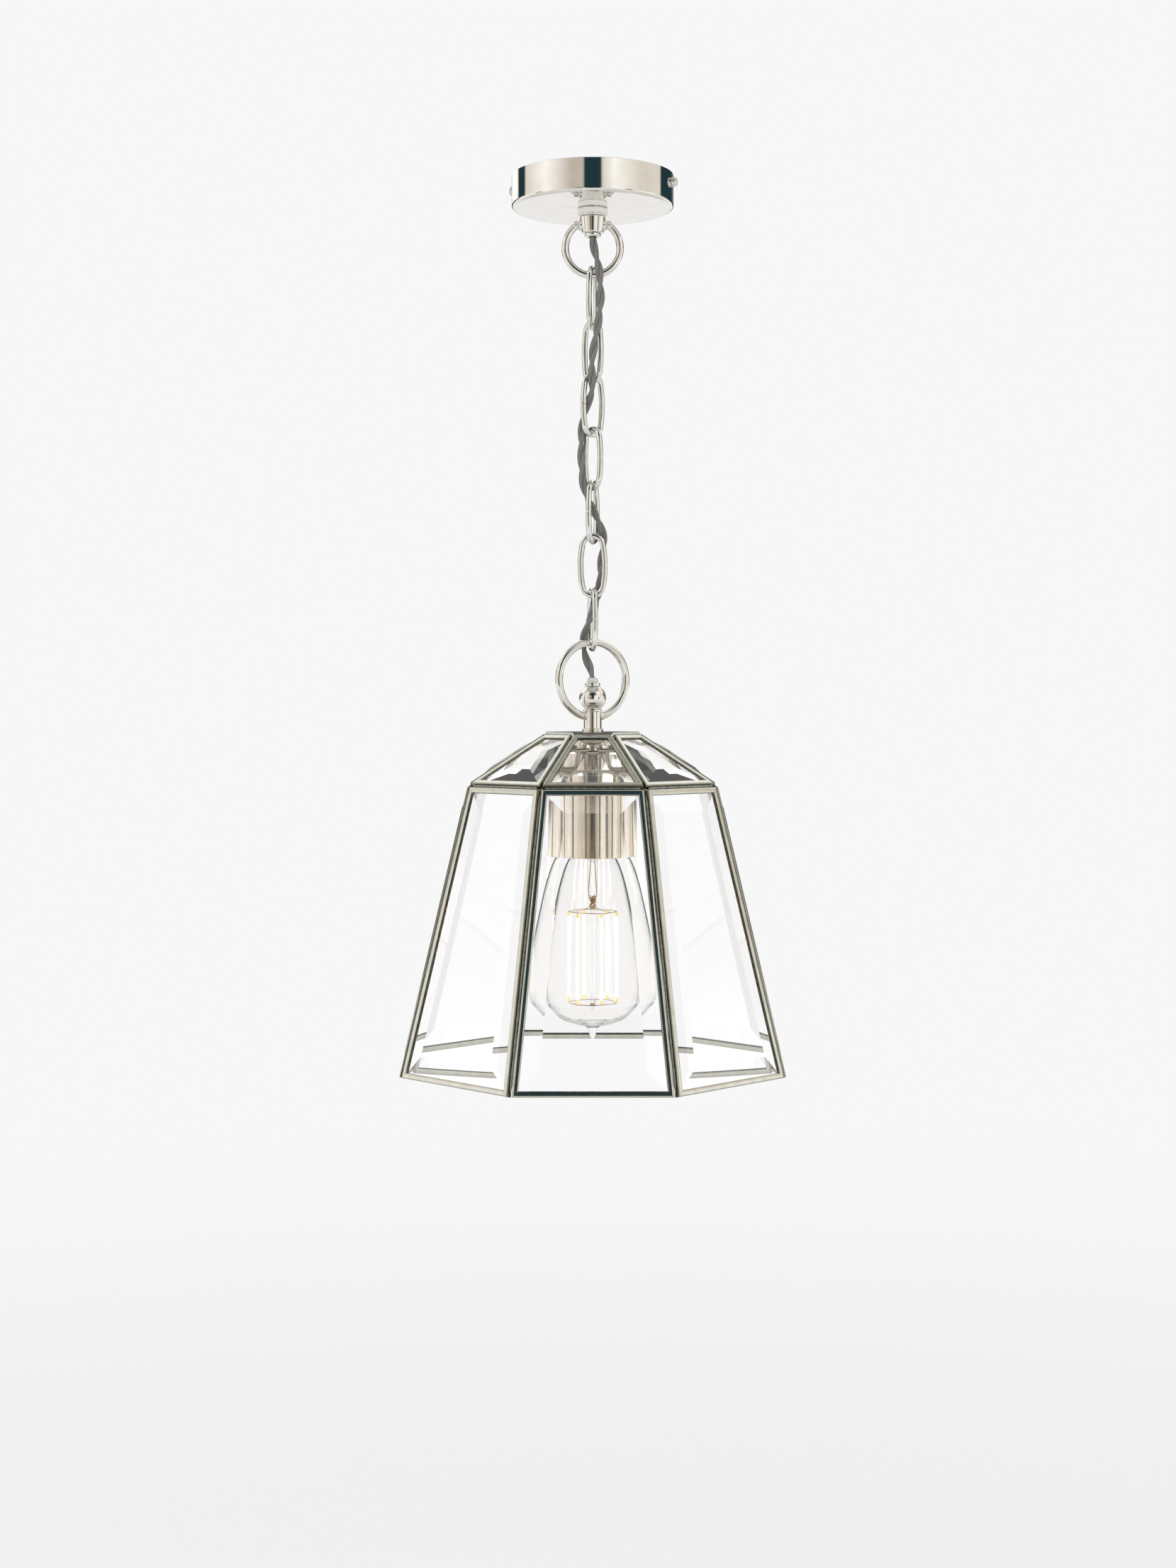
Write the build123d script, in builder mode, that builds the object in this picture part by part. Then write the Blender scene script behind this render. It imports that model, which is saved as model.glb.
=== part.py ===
from build123d import *
from math import acos, asin, atan2, cos, degrees, pi, radians, sin, sqrt, tan
import os

# Hanging lantern: a ceiling rose, a chain of oval links between two rings, an eight sided
# bevelled glass lantern in mitred metal cames, and a lamp holder with a long filament bulb.
# Millimetres. +Z is up, the origin is the middle of the face that meets the ceiling.

os.makedirs("parts", exist_ok=True)

# ---------------------------------------------------------------- driving dimensions
# ceiling rose
canopy_diameter = 108.0
canopy_depth = 22.0
canopy_wall = 1.2
canopy_rim_radius = 2.2
side_screw_angle = -14.0
side_screw_drop = 7.0
side_screw_radius = 1.7
side_screw_head_radius = 3.4
side_screw_head_length = 3.6
strap_width = 16.0
strap_thickness = 1.5
strap_tab_depth = 12.0
fixing_hole_spacing = 51.0
fixing_hole_radius = 2.6
block_length = 26.0
block_width = 15.0
block_height = 9.0
block_pitch = 8.0
block_bore_radius = 1.4
block_screw_radius = 1.4

# boss under the rose
rose_nipple_radius = 5.0
rose_nipple_bore = 3.4
boss_flange_radius = 9.85
boss_flange_height = 5.5
boss_cup_top_radius = 8.75
boss_cup_bottom_radius = 7.2
boss_cup_height = 11.0
boss_bush_radius = 5.5
boss_bush_height = 2.4
bail_drop = 5.5
lug_radius = 3.6
lug_reach = 9.2
pin_radius = 1.5
pin_play = 0.05

# rings and chain
ring_wire = 5.0
upper_ring_radius = 18.3
upper_ring_drop = 15.0
lower_ring_radius = 25.2
lower_ring_yaw = 28.0
link_wire = 3.8
link_length = 43.65
link_width = 19.9
link_end_radius = 6.9
link_yaws = [72.0, -48.0, 40.0, -51.0, 70.0, 0.0, 102.0]
link_seam = 0.3
wire_gap = 0.3

# finial and collar on top of the lantern
collar_radius = 5.9
collar_height = 12.8
collar_rim_radius = 6.4
collar_ear_radius = 3.0
collar_ear_reach = 7.0
ball_radius = 9.0
cap_radius = 5.0
cap_height = 2.4
cord_bush_radius = 3.6
cord_bush_height = 3.4
base_flange_radius = 7.0
base_flange_height = 2.0
lantern_nipple_radius = 4.0
lantern_nipple_bore = 3.05

# glass body, eight sides
sides = 8
plate_across_flats = 63.0
plate_thickness = 1.2
roof_top_apothem = 32.6
roof_top_drop = 1.3
shoulder_apothem = 81.95
shoulder_drop = 35.3
shoulder_step = 1.75
shoulder_rise = 2.72
base_apothem = 125.0
body_height = 186.9
came_face = 3.8
came_depth = 4.2
came_web = 1.2
came_slot = 2.0
mitre_gap = 0.1
seam_gap = 0.1
glass_edge = 1.8
glass_rise = 2.2
glass_play = 0.1
bevel_width = 11.5
post_solder = 0.8
hip_solder = 0.5
shoulder_solder = 0.8

# lamp holder and bulb
holder_drop = 13.7
holder_radius = 21.3
holder_height = 70.0
holder_wall = 0.8
holder_corner = 4.0
holder_body_radius = 19.0
bulb_top_drop = 53.4
bulb_cap_radius = 13.0
bulb_glass_radius = 32.0
bulb_glass_wall = 0.9
filament_count = 6
filament_circle = 16.0
filament_radius = 0.8
filament_length = 60.0
filament_start_angle = 21.0

# flex
flex_diameter = 5.6
core_radius = 1.0

fit = 0.05
clear = 0.3
tiny = 0.1

# ---------------------------------------------------------------- heights worked out
canopy_radius = canopy_diameter / 2
floor_top = -canopy_depth + canopy_wall
flange_bottom = -canopy_depth - boss_flange_height
cup_bottom = flange_bottom - boss_cup_height
bush_bottom = cup_bottom - boss_bush_height
bail_z = flange_bottom - bail_drop
upper_ring_z = bail_z - upper_ring_drop
link_r = link_wire / 2
ring_r = ring_wire / 2
link_rise = link_length - link_wire
first_link_top = upper_ring_z - upper_ring_radius + ring_r + link_r + wire_gap
link_tops = []
for i in range(len(link_yaws)):
    link_tops.append(first_link_top - i * (link_rise - link_wire - wire_gap))
last_link_bottom = link_tops[-1] - link_rise
lower_ring_z = last_link_bottom + link_r + ring_r + wire_gap - lower_ring_radius
ring_end_reach = collar_ear_reach + clear
collar_z = lower_ring_z - sqrt(lower_ring_radius**2 - ring_end_reach**2)
collar_top = collar_z + 4.2
collar_bottom = collar_top - collar_height
ball_z = collar_top + ball_radius - 1.4
cap_bottom = ball_z + ball_radius - 1.0
cap_top = cap_bottom + cap_height
base_flange_bottom = collar_bottom - fit - base_flange_height
plate_top = base_flange_bottom - fit
plate_bottom = plate_top - plate_thickness
lantern_nipple_top = cap_top - 1.1
holder_top = plate_top - holder_drop
holder_bottom = holder_top - holder_height
lantern_nipple_bottom = holder_top - 7.0
bulb_tip = plate_top - bulb_top_drop


# ---------------------------------------------------------------- shared shapes
def turned(outline):
    """A solid of revolution about Z from its half outline, (radius, height) points."""
    with BuildPart() as made:
        with BuildSketch(Plane.XZ):
            with BuildLine():
                Polyline(*outline, close=True)
            make_face()
        revolve(axis=Axis.Z)
    return made


def upright(yaw, z):
    """The upright plane through the Z axis that runs along the direction of a yaw."""
    a = radians(yaw)
    return Plane(origin=(0, 0, z), x_dir=(cos(a), sin(a), 0), z_dir=(sin(a), -cos(a), 0))


def across(yaw, x, z):
    """The plane at a distance along a yaw direction, facing along it."""
    a = radians(yaw)
    return Plane(origin=(x * cos(a), x * sin(a), z), z_dir=(cos(a), sin(a), 0), x_dir=(0, 0, 1))


# ---------------------------------------------------------------- ceiling rose
strap_plane = Plane.XY.rotated((0, 0, side_screw_angle))
tab_face = canopy_radius - canopy_wall - 0.8
tab_inner = tab_face - strap_thickness

with BuildPart() as ceiling_bracket:
    with BuildSketch(strap_plane):
        Rectangle(2 * tab_face, strap_width)
        with PolarLocations(fixing_hole_spacing / 2, 2):
            Circle(fixing_hole_radius, mode=Mode.SUBTRACT)
    extrude(amount=-strap_thickness)
    with BuildSketch(strap_plane.offset(-strap_thickness)):
        for side in (-1, 1):
            with Locations((side * (tab_face + tab_inner) / 2, 0)):
                Rectangle(strap_thickness, strap_width * 0.6)
    extrude(amount=-(strap_tab_depth - strap_thickness))
    with BuildSketch(across(side_screw_angle, -canopy_radius, -side_screw_drop)):
        Circle(side_screw_radius + fit)
    extrude(amount=canopy_diameter, mode=Mode.SUBTRACT)
ceiling_bracket.part.label = "ceiling_bracket"
export_step(ceiling_bracket.part, "parts/ceiling_bracket.step")

with BuildPart() as canopy:
    with BuildSketch(Plane.XZ):
        with BuildLine():
            Polyline((rose_nipple_radius + fit, -canopy_depth), (canopy_radius, -canopy_depth),
                     (canopy_radius, -tiny), (canopy_radius - canopy_wall, -tiny),
                     (canopy_radius - canopy_wall, floor_top), (rose_nipple_radius + fit, floor_top),
                     close=True)
        make_face()
    revolve(axis=Axis.Z)
    low_rim = canopy.edges().filter_by(GeomType.CIRCLE).group_by(Axis.Z)[0].sort_by(SortBy.RADIUS)[-1]
    fillet(low_rim, canopy_rim_radius)
    in_rim = canopy.edges().filter_by(GeomType.CIRCLE).filter_by(
        lambda e: abs(e.radius - canopy_radius + canopy_wall) < fit and e.center().Z < -canopy_depth / 2)
    fillet(in_rim, canopy_rim_radius - canopy_wall)
    with BuildSketch(across(side_screw_angle, -canopy_radius - 1, -side_screw_drop)):
        Circle(side_screw_radius + 2 * fit)
    extrude(amount=canopy_diameter + 2, mode=Mode.SUBTRACT)
canopy.part.label = "canopy"
export_step(canopy.part, "parts/canopy.step")

# two knurled screws hold the rose to the strap's tabs
with BuildPart() as canopy_screws:
    for yaw in (side_screw_angle, side_screw_angle + 180):
        with BuildSketch(across(yaw, tab_inner - 1.5, -side_screw_drop)):
            Circle(side_screw_radius)
        extrude(amount=canopy_radius + 1 - tab_inner + 1.5)
        with BuildSketch(across(yaw, canopy_radius + tiny, -side_screw_drop)):
            Circle(side_screw_head_radius)
        extrude(amount=side_screw_head_length)
    outer_rims = canopy_screws.edges().filter_by(GeomType.CIRCLE).filter_by(
        lambda e: sqrt(e.center().X**2 + e.center().Y**2) > canopy_radius + side_screw_head_length / 2)
    fillet(outer_rims, 1.2)
canopy_screws.part.label = "canopy_screws"
export_step(canopy_screws.part, "parts/canopy_screws.step")

block_top = -strap_thickness - fit
block_bottom = block_top - block_height
with BuildPart() as terminal_block:
    with BuildSketch(strap_plane.offset(block_top)):
        RectangleRounded(block_length, block_width, 2)
    extrude(amount=-block_height)
    bore_plane = Plane(origin=(0, 0, block_top - block_height * 0.5),
                       x_dir=strap_plane.x_dir, z_dir=strap_plane.y_dir)
    with BuildSketch(bore_plane):
        with GridLocations(block_pitch, 0, 3, 1):
            Circle(block_bore_radius)
    extrude(amount=block_width, both=True, mode=Mode.SUBTRACT)
    with BuildSketch(strap_plane.offset(block_bottom)):
        with GridLocations(block_pitch, block_width * 0.5, 3, 2):
            Circle(block_screw_radius + fit)
    extrude(amount=3.0, mode=Mode.SUBTRACT)
terminal_block.part.label = "terminal_block"
export_step(terminal_block.part, "parts/terminal_block.step")

with BuildPart() as terminal_screws:
    with BuildSketch(strap_plane.offset(block_bottom)):
        with GridLocations(block_pitch, block_width * 0.5, 3, 2):
            Circle(block_screw_radius)
            Rectangle(2 * block_screw_radius, 0.5, mode=Mode.SUBTRACT)
    extrude(amount=0.8)
    with BuildSketch(strap_plane.offset(block_bottom + 0.8)):
        with GridLocations(block_pitch, block_width * 0.5, 3, 2):
            Circle(block_screw_radius)
    extrude(amount=2.0)
terminal_screws.part.label = "terminal_screws"
export_step(terminal_screws.part, "parts/terminal_screws.step")

# hollow threaded tube that clamps the boss to the floor of the rose
nut_height = 3.0
rose_nipple_top = floor_top + nut_height + 2.2
rose_nipple_bottom = cup_bottom + 2.2
canopy_nipple = turned([(rose_nipple_bore, rose_nipple_bottom), (rose_nipple_radius, rose_nipple_bottom),
                        (rose_nipple_radius, rose_nipple_top), (rose_nipple_bore, rose_nipple_top)])
canopy_nipple.part.label = "canopy_nipple"
export_step(canopy_nipple.part, "parts/canopy_nipple.step")

with BuildPart() as nipple_nut:
    with BuildSketch(Plane.XY.offset(floor_top + fit)):
        RegularPolygon(8.0, 6)
        Circle(rose_nipple_radius + fit, mode=Mode.SUBTRACT)
    extrude(amount=nut_height)
    chamfer(nipple_nut.edges().filter_by(GeomType.LINE).group_by(Axis.Z)[-1], 0.4)
nipple_nut.part.label = "nipple_nut"
export_step(nipple_nut.part, "parts/nipple_nut.step")

# ---------------------------------------------------------------- boss
with BuildPart() as boss_flange:
    with BuildSketch(Plane.XZ):
        with BuildLine():
            top = -canopy_depth - fit
            low = flange_bottom + fit
            waist = boss_flange_radius - 1.1
            middle = (top + low) / 2
            Line((rose_nipple_radius + fit, low), (boss_flange_radius - 0.5, low))
            RadiusArc((boss_flange_radius - 0.5, low), (boss_flange_radius - 0.3, middle - 0.5), -1.2)
            RadiusArc((boss_flange_radius - 0.3, middle - 0.5), (boss_flange_radius - 0.3, middle + 0.5), 0.6)
            RadiusArc((boss_flange_radius - 0.3, middle + 0.5), (boss_flange_radius - 0.5, top), -1.2)
            Line((boss_flange_radius - 0.5, top), (rose_nipple_radius + fit, top))
            Line((rose_nipple_radius + fit, top), (rose_nipple_radius + fit, low))
        make_face()
    revolve(axis=Axis.Z)
boss_flange.part.label = "boss_flange"
export_step(boss_flange.part, "parts/boss_flange.step")

bush_spigot = boss_bush_radius - 1.1
with BuildPart() as boss_cup:
    with BuildSketch(Plane.XZ):
        with BuildLine():
            Polyline((bush_spigot + tiny, cup_bottom), (boss_cup_bottom_radius, cup_bottom),
                     (boss_cup_top_radius, flange_bottom), (rose_nipple_radius + fit, flange_bottom),
                     (rose_nipple_radius + fit, rose_nipple_bottom - fit),
                     (bush_spigot + tiny, rose_nipple_bottom - fit), close=True)
        make_face()
    revolve(axis=Axis.Z)
    fillet(boss_cup.edges().filter_by(GeomType.CIRCLE).group_by(Axis.Z)[0].sort_by(SortBy.RADIUS)[-1], 0.8)
    for yaw in (0, 180):
        with BuildSketch(across(yaw, boss_cup_bottom_radius - 1, bail_z)):
            Circle(lug_radius)
        extrude(amount=lug_reach - boss_cup_bottom_radius + 1)
        with BuildSketch(across(yaw, rose_nipple_radius + 1.25, bail_z)):
            Circle(pin_radius + pin_play)
        extrude(amount=lug_reach, mode=Mode.SUBTRACT)
boss_cup.part.label = "boss_cup"
export_step(boss_cup.part, "parts/boss_cup.step")

bush_bore = flex_diameter / 2 + 0.4
boss_bush = turned([(bush_bore, bush_bottom), (boss_bush_radius - 0.6, bush_bottom),
                    (boss_bush_radius, bush_bottom + 0.6), (boss_bush_radius, cup_bottom - fit),
                    (bush_spigot, cup_bottom - fit), (bush_spigot, rose_nipple_bottom - 4 * fit),
                    (bush_bore, rose_nipple_bottom - 4 * fit)])
boss_bush.part.label = "boss_bush"
export_step(boss_bush.part, "parts/boss_bush.step")

# ---------------------------------------------------------------- upper ring, a bail on two pins
eye_radius = 3.0
eye_inner = lug_reach + clear
ring_half_gap = degrees(acos(upper_ring_drop / upper_ring_radius))
with BuildPart() as upper_ring:
    with BuildLine(Plane.XZ):
        bail_arc = CenterArc((0, upper_ring_z), upper_ring_radius, 90 + ring_half_gap, 360 - 2 * ring_half_gap)
    ring_start = Plane(origin=bail_arc @ 0, z_dir=bail_arc % 0)
    with BuildSketch(ring_start):
        Circle(ring_r)
    sweep()
    with Locations((0, 0, bail_z)):
        Box(2 * eye_inner, 4 * ring_r, 4 * ring_r, mode=Mode.SUBTRACT)
    for yaw in (0, 180):
        with BuildSketch(across(yaw, eye_inner, bail_z)):
            Circle(eye_radius)
        extrude(amount=eye_radius)
        with BuildSketch(across(yaw, rose_nipple_radius + 1.5, bail_z)):
            Circle(pin_radius)
        extrude(amount=eye_inner - rose_nipple_radius)
upper_ring.part.label = "upper_ring"
export_step(upper_ring.part, "parts/upper_ring.step")

# ---------------------------------------------------------------- chain links
# Each link is four arcs: two round ends and two slightly bowed legs, with a butt seam in one leg.
half_width = (link_width - link_wire) / 2
half_rise = link_rise / 2
end_height = half_rise - link_end_radius
leg_radius = (half_width**2 + end_height**2 - link_end_radius**2) / (2 * (half_width - link_end_radius))
leg_span = atan2(end_height, leg_radius - half_width)
for i, (yaw, top) in enumerate(zip(link_yaws, link_tops)):
    plane = upright(yaw, top - half_rise)
    seam_angle = degrees(leg_span)
    with BuildPart() as chain_link:
        with BuildLine(plane) as wire_line:
            CenterArc((0, end_height), link_end_radius, seam_angle, 180 - 2 * seam_angle)
            CenterArc((leg_radius - half_width, 0), leg_radius, 180 - seam_angle, 2 * seam_angle)
            CenterArc((0, -end_height), link_end_radius, 180 + seam_angle, 180 - 2 * seam_angle)
            CenterArc((half_width - leg_radius, 0), leg_radius, -seam_angle, 2 * seam_angle)
        wire = wire_line.line
        link_start = Plane(origin=wire @ 0, z_dir=wire % 0)
        with BuildSketch(link_start):
            Circle(link_r)
        sweep(path=wire)
        seam_side = 1 if i in (3, 5) else -1
        with BuildSketch(plane.offset(link_wire)):
            with Locations((seam_side * half_width, 0)):
                Rectangle(2 * link_wire, link_seam)
        extrude(amount=-2 * link_wire, mode=Mode.SUBTRACT)
    chain_link.part.label = f"chain_link_{i + 1}"
    export_step(chain_link.part, f"parts/chain_link_{i + 1}.step")

# ---------------------------------------------------------------- lower ring
ring_plane = upright(lower_ring_yaw, lower_ring_z)
ring_half_end = degrees(asin(ring_end_reach / lower_ring_radius))
with BuildPart() as lower_ring:
    with BuildLine(ring_plane):
        ring_arc = CenterArc((0, 0), lower_ring_radius, -90 + ring_half_end, 360 - 2 * ring_half_end)
    arc_start = Plane(origin=ring_arc @ 0, z_dir=ring_arc % 0)
    with BuildSketch(arc_start):
        Circle(ring_r)
    sweep()
    with BuildSketch(ring_plane.offset(2 * ring_r)):
        with Locations((0, collar_z - lower_ring_z)):
            Rectangle(2 * ring_end_reach, 4 * ring_r)
    extrude(amount=-4 * ring_r, mode=Mode.SUBTRACT)
    for yaw in (lower_ring_yaw, lower_ring_yaw + 180):
        with BuildSketch(across(yaw, lantern_nipple_radius + 0.4, collar_z)):
            Circle(pin_radius)
        extrude(amount=ring_end_reach - lantern_nipple_radius + 0.6)
lower_ring.part.label = "lower_ring"
export_step(lower_ring.part, "parts/lower_ring.step")

# ---------------------------------------------------------------- collar and finial
nipple_hole = lantern_nipple_radius + fit
with BuildPart() as ring_collar:
    with BuildSketch(Plane.XZ):
        with BuildLine():
            Polyline((nipple_hole, collar_bottom), (collar_radius, collar_bottom),
                     (collar_radius, collar_top - 1.3), (collar_rim_radius, collar_top - 1.0),
                     (collar_rim_radius, collar_top), (nipple_hole, collar_top), close=True)
        make_face()
    revolve(axis=Axis.Z)
    for yaw in (lower_ring_yaw, lower_ring_yaw + 180):
        with BuildSketch(across(yaw, collar_radius - 1, collar_z)):
            Circle(collar_ear_radius)
        extrude(amount=collar_ear_reach - collar_radius + 1)
        with BuildSketch(across(yaw, lantern_nipple_radius + 0.2, collar_z)):
            Circle(pin_radius + pin_play)
        extrude(amount=collar_ear_reach, mode=Mode.SUBTRACT)
ring_collar.part.label = "ring_collar"
export_step(ring_collar.part, "parts/ring_collar.step")

with BuildPart() as ball_finial:
    with Locations((0, 0, ball_z)):
        Sphere(ball_radius)
    split(bisect_by=Plane.XY.offset(collar_top + fit), keep=Keep.TOP)
    split(bisect_by=Plane.XY.offset(cap_bottom - fit), keep=Keep.BOTTOM)
    with Locations((0, 0, ball_z)):
        Cylinder(nipple_hole, 2 * ball_radius, mode=Mode.SUBTRACT)
ball_finial.part.label = "ball_finial"
export_step(ball_finial.part, "parts/ball_finial.step")

cord_bore = flex_diameter / 2 + 0.1
spigot_hole = cord_bush_radius - 0.2
finial_cap = turned([(nipple_hole, cap_bottom), (cap_radius, cap_bottom), (cap_radius, cap_top),
                     (spigot_hole, cap_top), (spigot_hole, lantern_nipple_top + fit),
                     (nipple_hole, lantern_nipple_top + fit)])
finial_cap.part.label = "finial_cap"
export_step(finial_cap.part, "parts/finial_cap.step")

cord_bush_top = cap_top + cord_bush_height
cord_bush = turned([(cord_bore, lantern_nipple_top + 2 * fit), (spigot_hole - fit, lantern_nipple_top + 2 * fit),
                    (spigot_hole - fit, cap_top + fit), (cord_bush_radius, cap_top + fit),
                    (cord_bush_radius - 0.4, cord_bush_top), (cord_bore, cord_bush_top)])
cord_bush.part.label = "cord_bush"
export_step(cord_bush.part, "parts/cord_bush.step")

flange_middle = base_flange_bottom + base_flange_height / 2
collar_base = turned([(nipple_hole, base_flange_bottom), (base_flange_radius, base_flange_bottom),
                      (base_flange_radius, flange_middle - 0.15), (base_flange_radius - 0.25, flange_middle),
                      (base_flange_radius, flange_middle + 0.15),
                      (base_flange_radius, base_flange_bottom + base_flange_height),
                      (nipple_hole, base_flange_bottom + base_flange_height)])
collar_base.part.label = "collar_base"
export_step(collar_base.part, "parts/collar_base.step")

lantern_nipple = turned([(lantern_nipple_bore, lantern_nipple_bottom),
                         (lantern_nipple_radius, lantern_nipple_bottom),
                         (lantern_nipple_radius, lantern_nipple_top),
                         (lantern_nipple_bore, lantern_nipple_top)])
lantern_nipple.part.label = "lantern_nipple"
export_step(lantern_nipple.part, "parts/lantern_nipple.step")

lantern_nut_height = 3.0
with BuildPart() as lantern_nut:
    with BuildSketch(Plane.XY.offset(plate_bottom - fit)):
        RegularPolygon(7.2, 6)
        Circle(nipple_hole, mode=Mode.SUBTRACT)
    extrude(amount=-lantern_nut_height)
    chamfer(lantern_nut.edges().filter_by(GeomType.LINE).group_by(Axis.Z)[0], 0.4)
lantern_nut.part.label = "lantern_nut"
export_step(lantern_nut.part, "parts/lantern_nut.step")

# ---------------------------------------------------------------- glass body
half_turn = radians(180 / sides)
with BuildPart() as top_plate:
    with BuildSketch(Plane.XY.offset(plate_bottom)):
        RegularPolygon(plate_across_flats / 2, sides, major_radius=False)
        Circle(nipple_hole, mode=Mode.SUBTRACT)
    extrude(amount=plate_thickness)
top_plate.part.label = "top_plate"
export_step(top_plate.part, "parts/top_plate.step")


class Panel:
    """One of the eight sloping faces: its outer surface, top edge first, and its half widths."""

    def __init__(self, top_apothem, top_z, low_apothem, low_z):
        self.top_apothem = top_apothem
        self.top_z = top_z
        self.run = low_apothem - top_apothem
        self.fall = top_z - low_z
        self.length = sqrt(self.run**2 + self.fall**2)
        self.out = self.fall / self.length
        self.up = self.run / self.length
        inner_top = top_apothem - came_depth * self.out
        inner_low = low_apothem - came_depth * self.out
        self.half_top = inner_top * tan(half_turn) - seam_gap
        self.half_low = inner_low * tan(half_turn) - seam_gap
        self.flare = (self.half_low - self.half_top) / self.length

    def plane(self, angle, depth=0.0):
        """The plane of a panel that faces a direction, moved in by a depth; y runs up the slope."""
        a = radians(angle)
        face = Plane(origin=(self.top_apothem * cos(a), self.top_apothem * sin(a), self.top_z),
                     x_dir=(-sin(a), cos(a), 0), z_dir=(self.out * cos(a), self.out * sin(a), self.up))
        return face.offset(-depth)

    def outline(self, inset):
        """The panel's trapezoid, moved in from its edges, clockwise from the top left."""
        corners = []
        for side, y in ((-1, -inset), (1, -inset), (1, inset - self.length), (-1, inset - self.length)):
            half = self.half_top - self.flare * y - inset * sqrt(1 + self.flare**2)
            corners.append((side * half, y))
        return corners

    def edge_point(self, radial, depth, y):
        """Radius and height of a point of the panel's section, at a depth below its outer surface."""
        return (self.top_apothem - y * self.up - depth * self.out,
                self.top_z + y * self.out - depth * self.up)


def build_cames(panel):
    """Four mitred channels round each of the eight panels."""
    with BuildPart() as one:
        with BuildSketch(panel.plane(0)):
            Polygon(*panel.outline(0), align=None)
            Polygon(*panel.outline(came_face), align=None, mode=Mode.SUBTRACT)
        extrude(amount=-came_depth)
        with BuildSketch(panel.plane(0, (came_depth - came_slot) / 2)):
            Polygon(*panel.outline(came_web), align=None)
        extrude(amount=-came_slot, mode=Mode.SUBTRACT)
        with BuildSketch(panel.plane(0, -1)):
            for outer, inner in zip(panel.outline(-1), panel.outline(came_face + 1)):
                middle = ((outer[0] + inner[0]) / 2, (outer[1] + inner[1]) / 2)
                reach = sqrt((outer[0] - inner[0])**2 + (outer[1] - inner[1])**2)
                lean = degrees(atan2(outer[1] - inner[1], outer[0] - inner[0]))
                with Locations(middle):
                    Rectangle(reach, mitre_gap, rotation=lean)
        extrude(amount=-came_depth - 2, mode=Mode.SUBTRACT)
    with BuildPart() as ring_of_frames:
        with PolarLocations(0, sides):
            add(one.part)
    return ring_of_frames


def build_pane(panel, angle):
    """A plate of glass with a broad bevel on its outer face."""
    edge_depth = (came_depth - glass_edge) / 2
    with BuildPart() as pane:
        with BuildSketch(panel.plane(angle, edge_depth + glass_edge)):
            Polygon(*panel.outline(came_web + glass_play), align=None)
        extrude(amount=glass_edge)
        with BuildSketch(panel.plane(angle, edge_depth)):
            Polygon(*panel.outline(came_face + glass_play), align=None)
        with BuildSketch(panel.plane(angle, edge_depth - glass_rise)):
            Polygon(*panel.outline(came_face + glass_play + bevel_width), align=None)
        loft()
    return pane


roof = Panel(roof_top_apothem, plate_top - roof_top_drop,
             shoulder_apothem - shoulder_step, plate_top - shoulder_drop + shoulder_rise)
body = Panel(shoulder_apothem, plate_top - shoulder_drop,
             base_apothem, plate_top - shoulder_drop - body_height)

for i in range(sides):
    facing = 360 / sides * i - 90
    roof_pane = build_pane(roof, facing)
    roof_pane.part.label = f"roof_glass_{i + 1}"
    export_step(roof_pane.part, f"parts/roof_glass_{i + 1}.step")
    side_pane = build_pane(body, facing)
    side_pane.part.label = f"side_glass_{i + 1}"
    export_step(side_pane.part, f"parts/side_glass_{i + 1}.step")

roof_cames = build_cames(roof)
roof_cames.part.label = "roof_cames"
export_step(roof_cames.part, "parts/roof_cames.step")

side_cames = build_cames(body)
side_cames.part.label = "side_cames"
export_step(side_cames.part, "parts/side_cames.step")


def corner_bead(panel, radius, y_top, y_low):
    """The ends of a bead that lies in the groove between two neighbouring panels."""
    spread = acos(panel.out**2 * cos(2 * half_turn) + panel.up**2) / 2
    ends = []
    for y in (y_top, y_low):
        r, z = panel.edge_point(0, came_depth, y)
        ends.append((r / cos(half_turn), 0, z))
    along = (Vector(*ends[1]) - Vector(*ends[0])).normalized()
    outward = Vector(-along.Z, 0, along.X)
    lift = outward * ((radius + tiny) / sin(spread))
    return [tuple(Vector(*p) + lift) for p in ends]


# beads of solder in the grooves between the frames: the hips, the posts and the shoulder
shoulder_turn = acos(roof.out * body.out + roof.up * body.up) / 2
low_r, low_z = roof.edge_point(0, came_depth, -roof.length)
high_r, high_z = body.edge_point(0, came_depth, 0)
groove_lean = (atan2(roof.up, roof.out) + atan2(body.up, body.out)) / 2
bead_reach = (shoulder_solder + tiny) / sin(shoulder_turn)
bead_r = (low_r + high_r) / 2 + bead_reach * cos(groove_lean)
bead_z = (low_z + high_z) / 2 + bead_reach * sin(groove_lean)
bead_half = low_r * tan(half_turn) - 4
hip_bead = corner_bead(roof, hip_solder, -6, 6 - roof.length)
post_bead = corner_bead(body, post_solder, -6, 3 - body.length)
with BuildPart() as one_corner:
    for ends, radius in ((hip_bead, hip_solder), (post_bead, post_solder)):
        run = Vector(*ends[1]) - Vector(*ends[0])
        with BuildSketch(Plane(origin=ends[0], z_dir=run)):
            Circle(radius)
        extrude(amount=run.length)
with BuildPart() as one_shoulder:
    with BuildSketch(Plane(origin=(bead_r, -bead_half, bead_z), z_dir=(0, 1, 0))):
        Circle(shoulder_solder)
    extrude(amount=2 * bead_half)
with BuildPart() as solder_seams:
    with PolarLocations(0, sides, start_angle=180 / sides):
        add(one_corner.part)
    with PolarLocations(0, sides):
        add(one_shoulder.part)
solder_seams.part.label = "solder_seams"
export_step(solder_seams.part, "parts/solder_seams.step")

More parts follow.
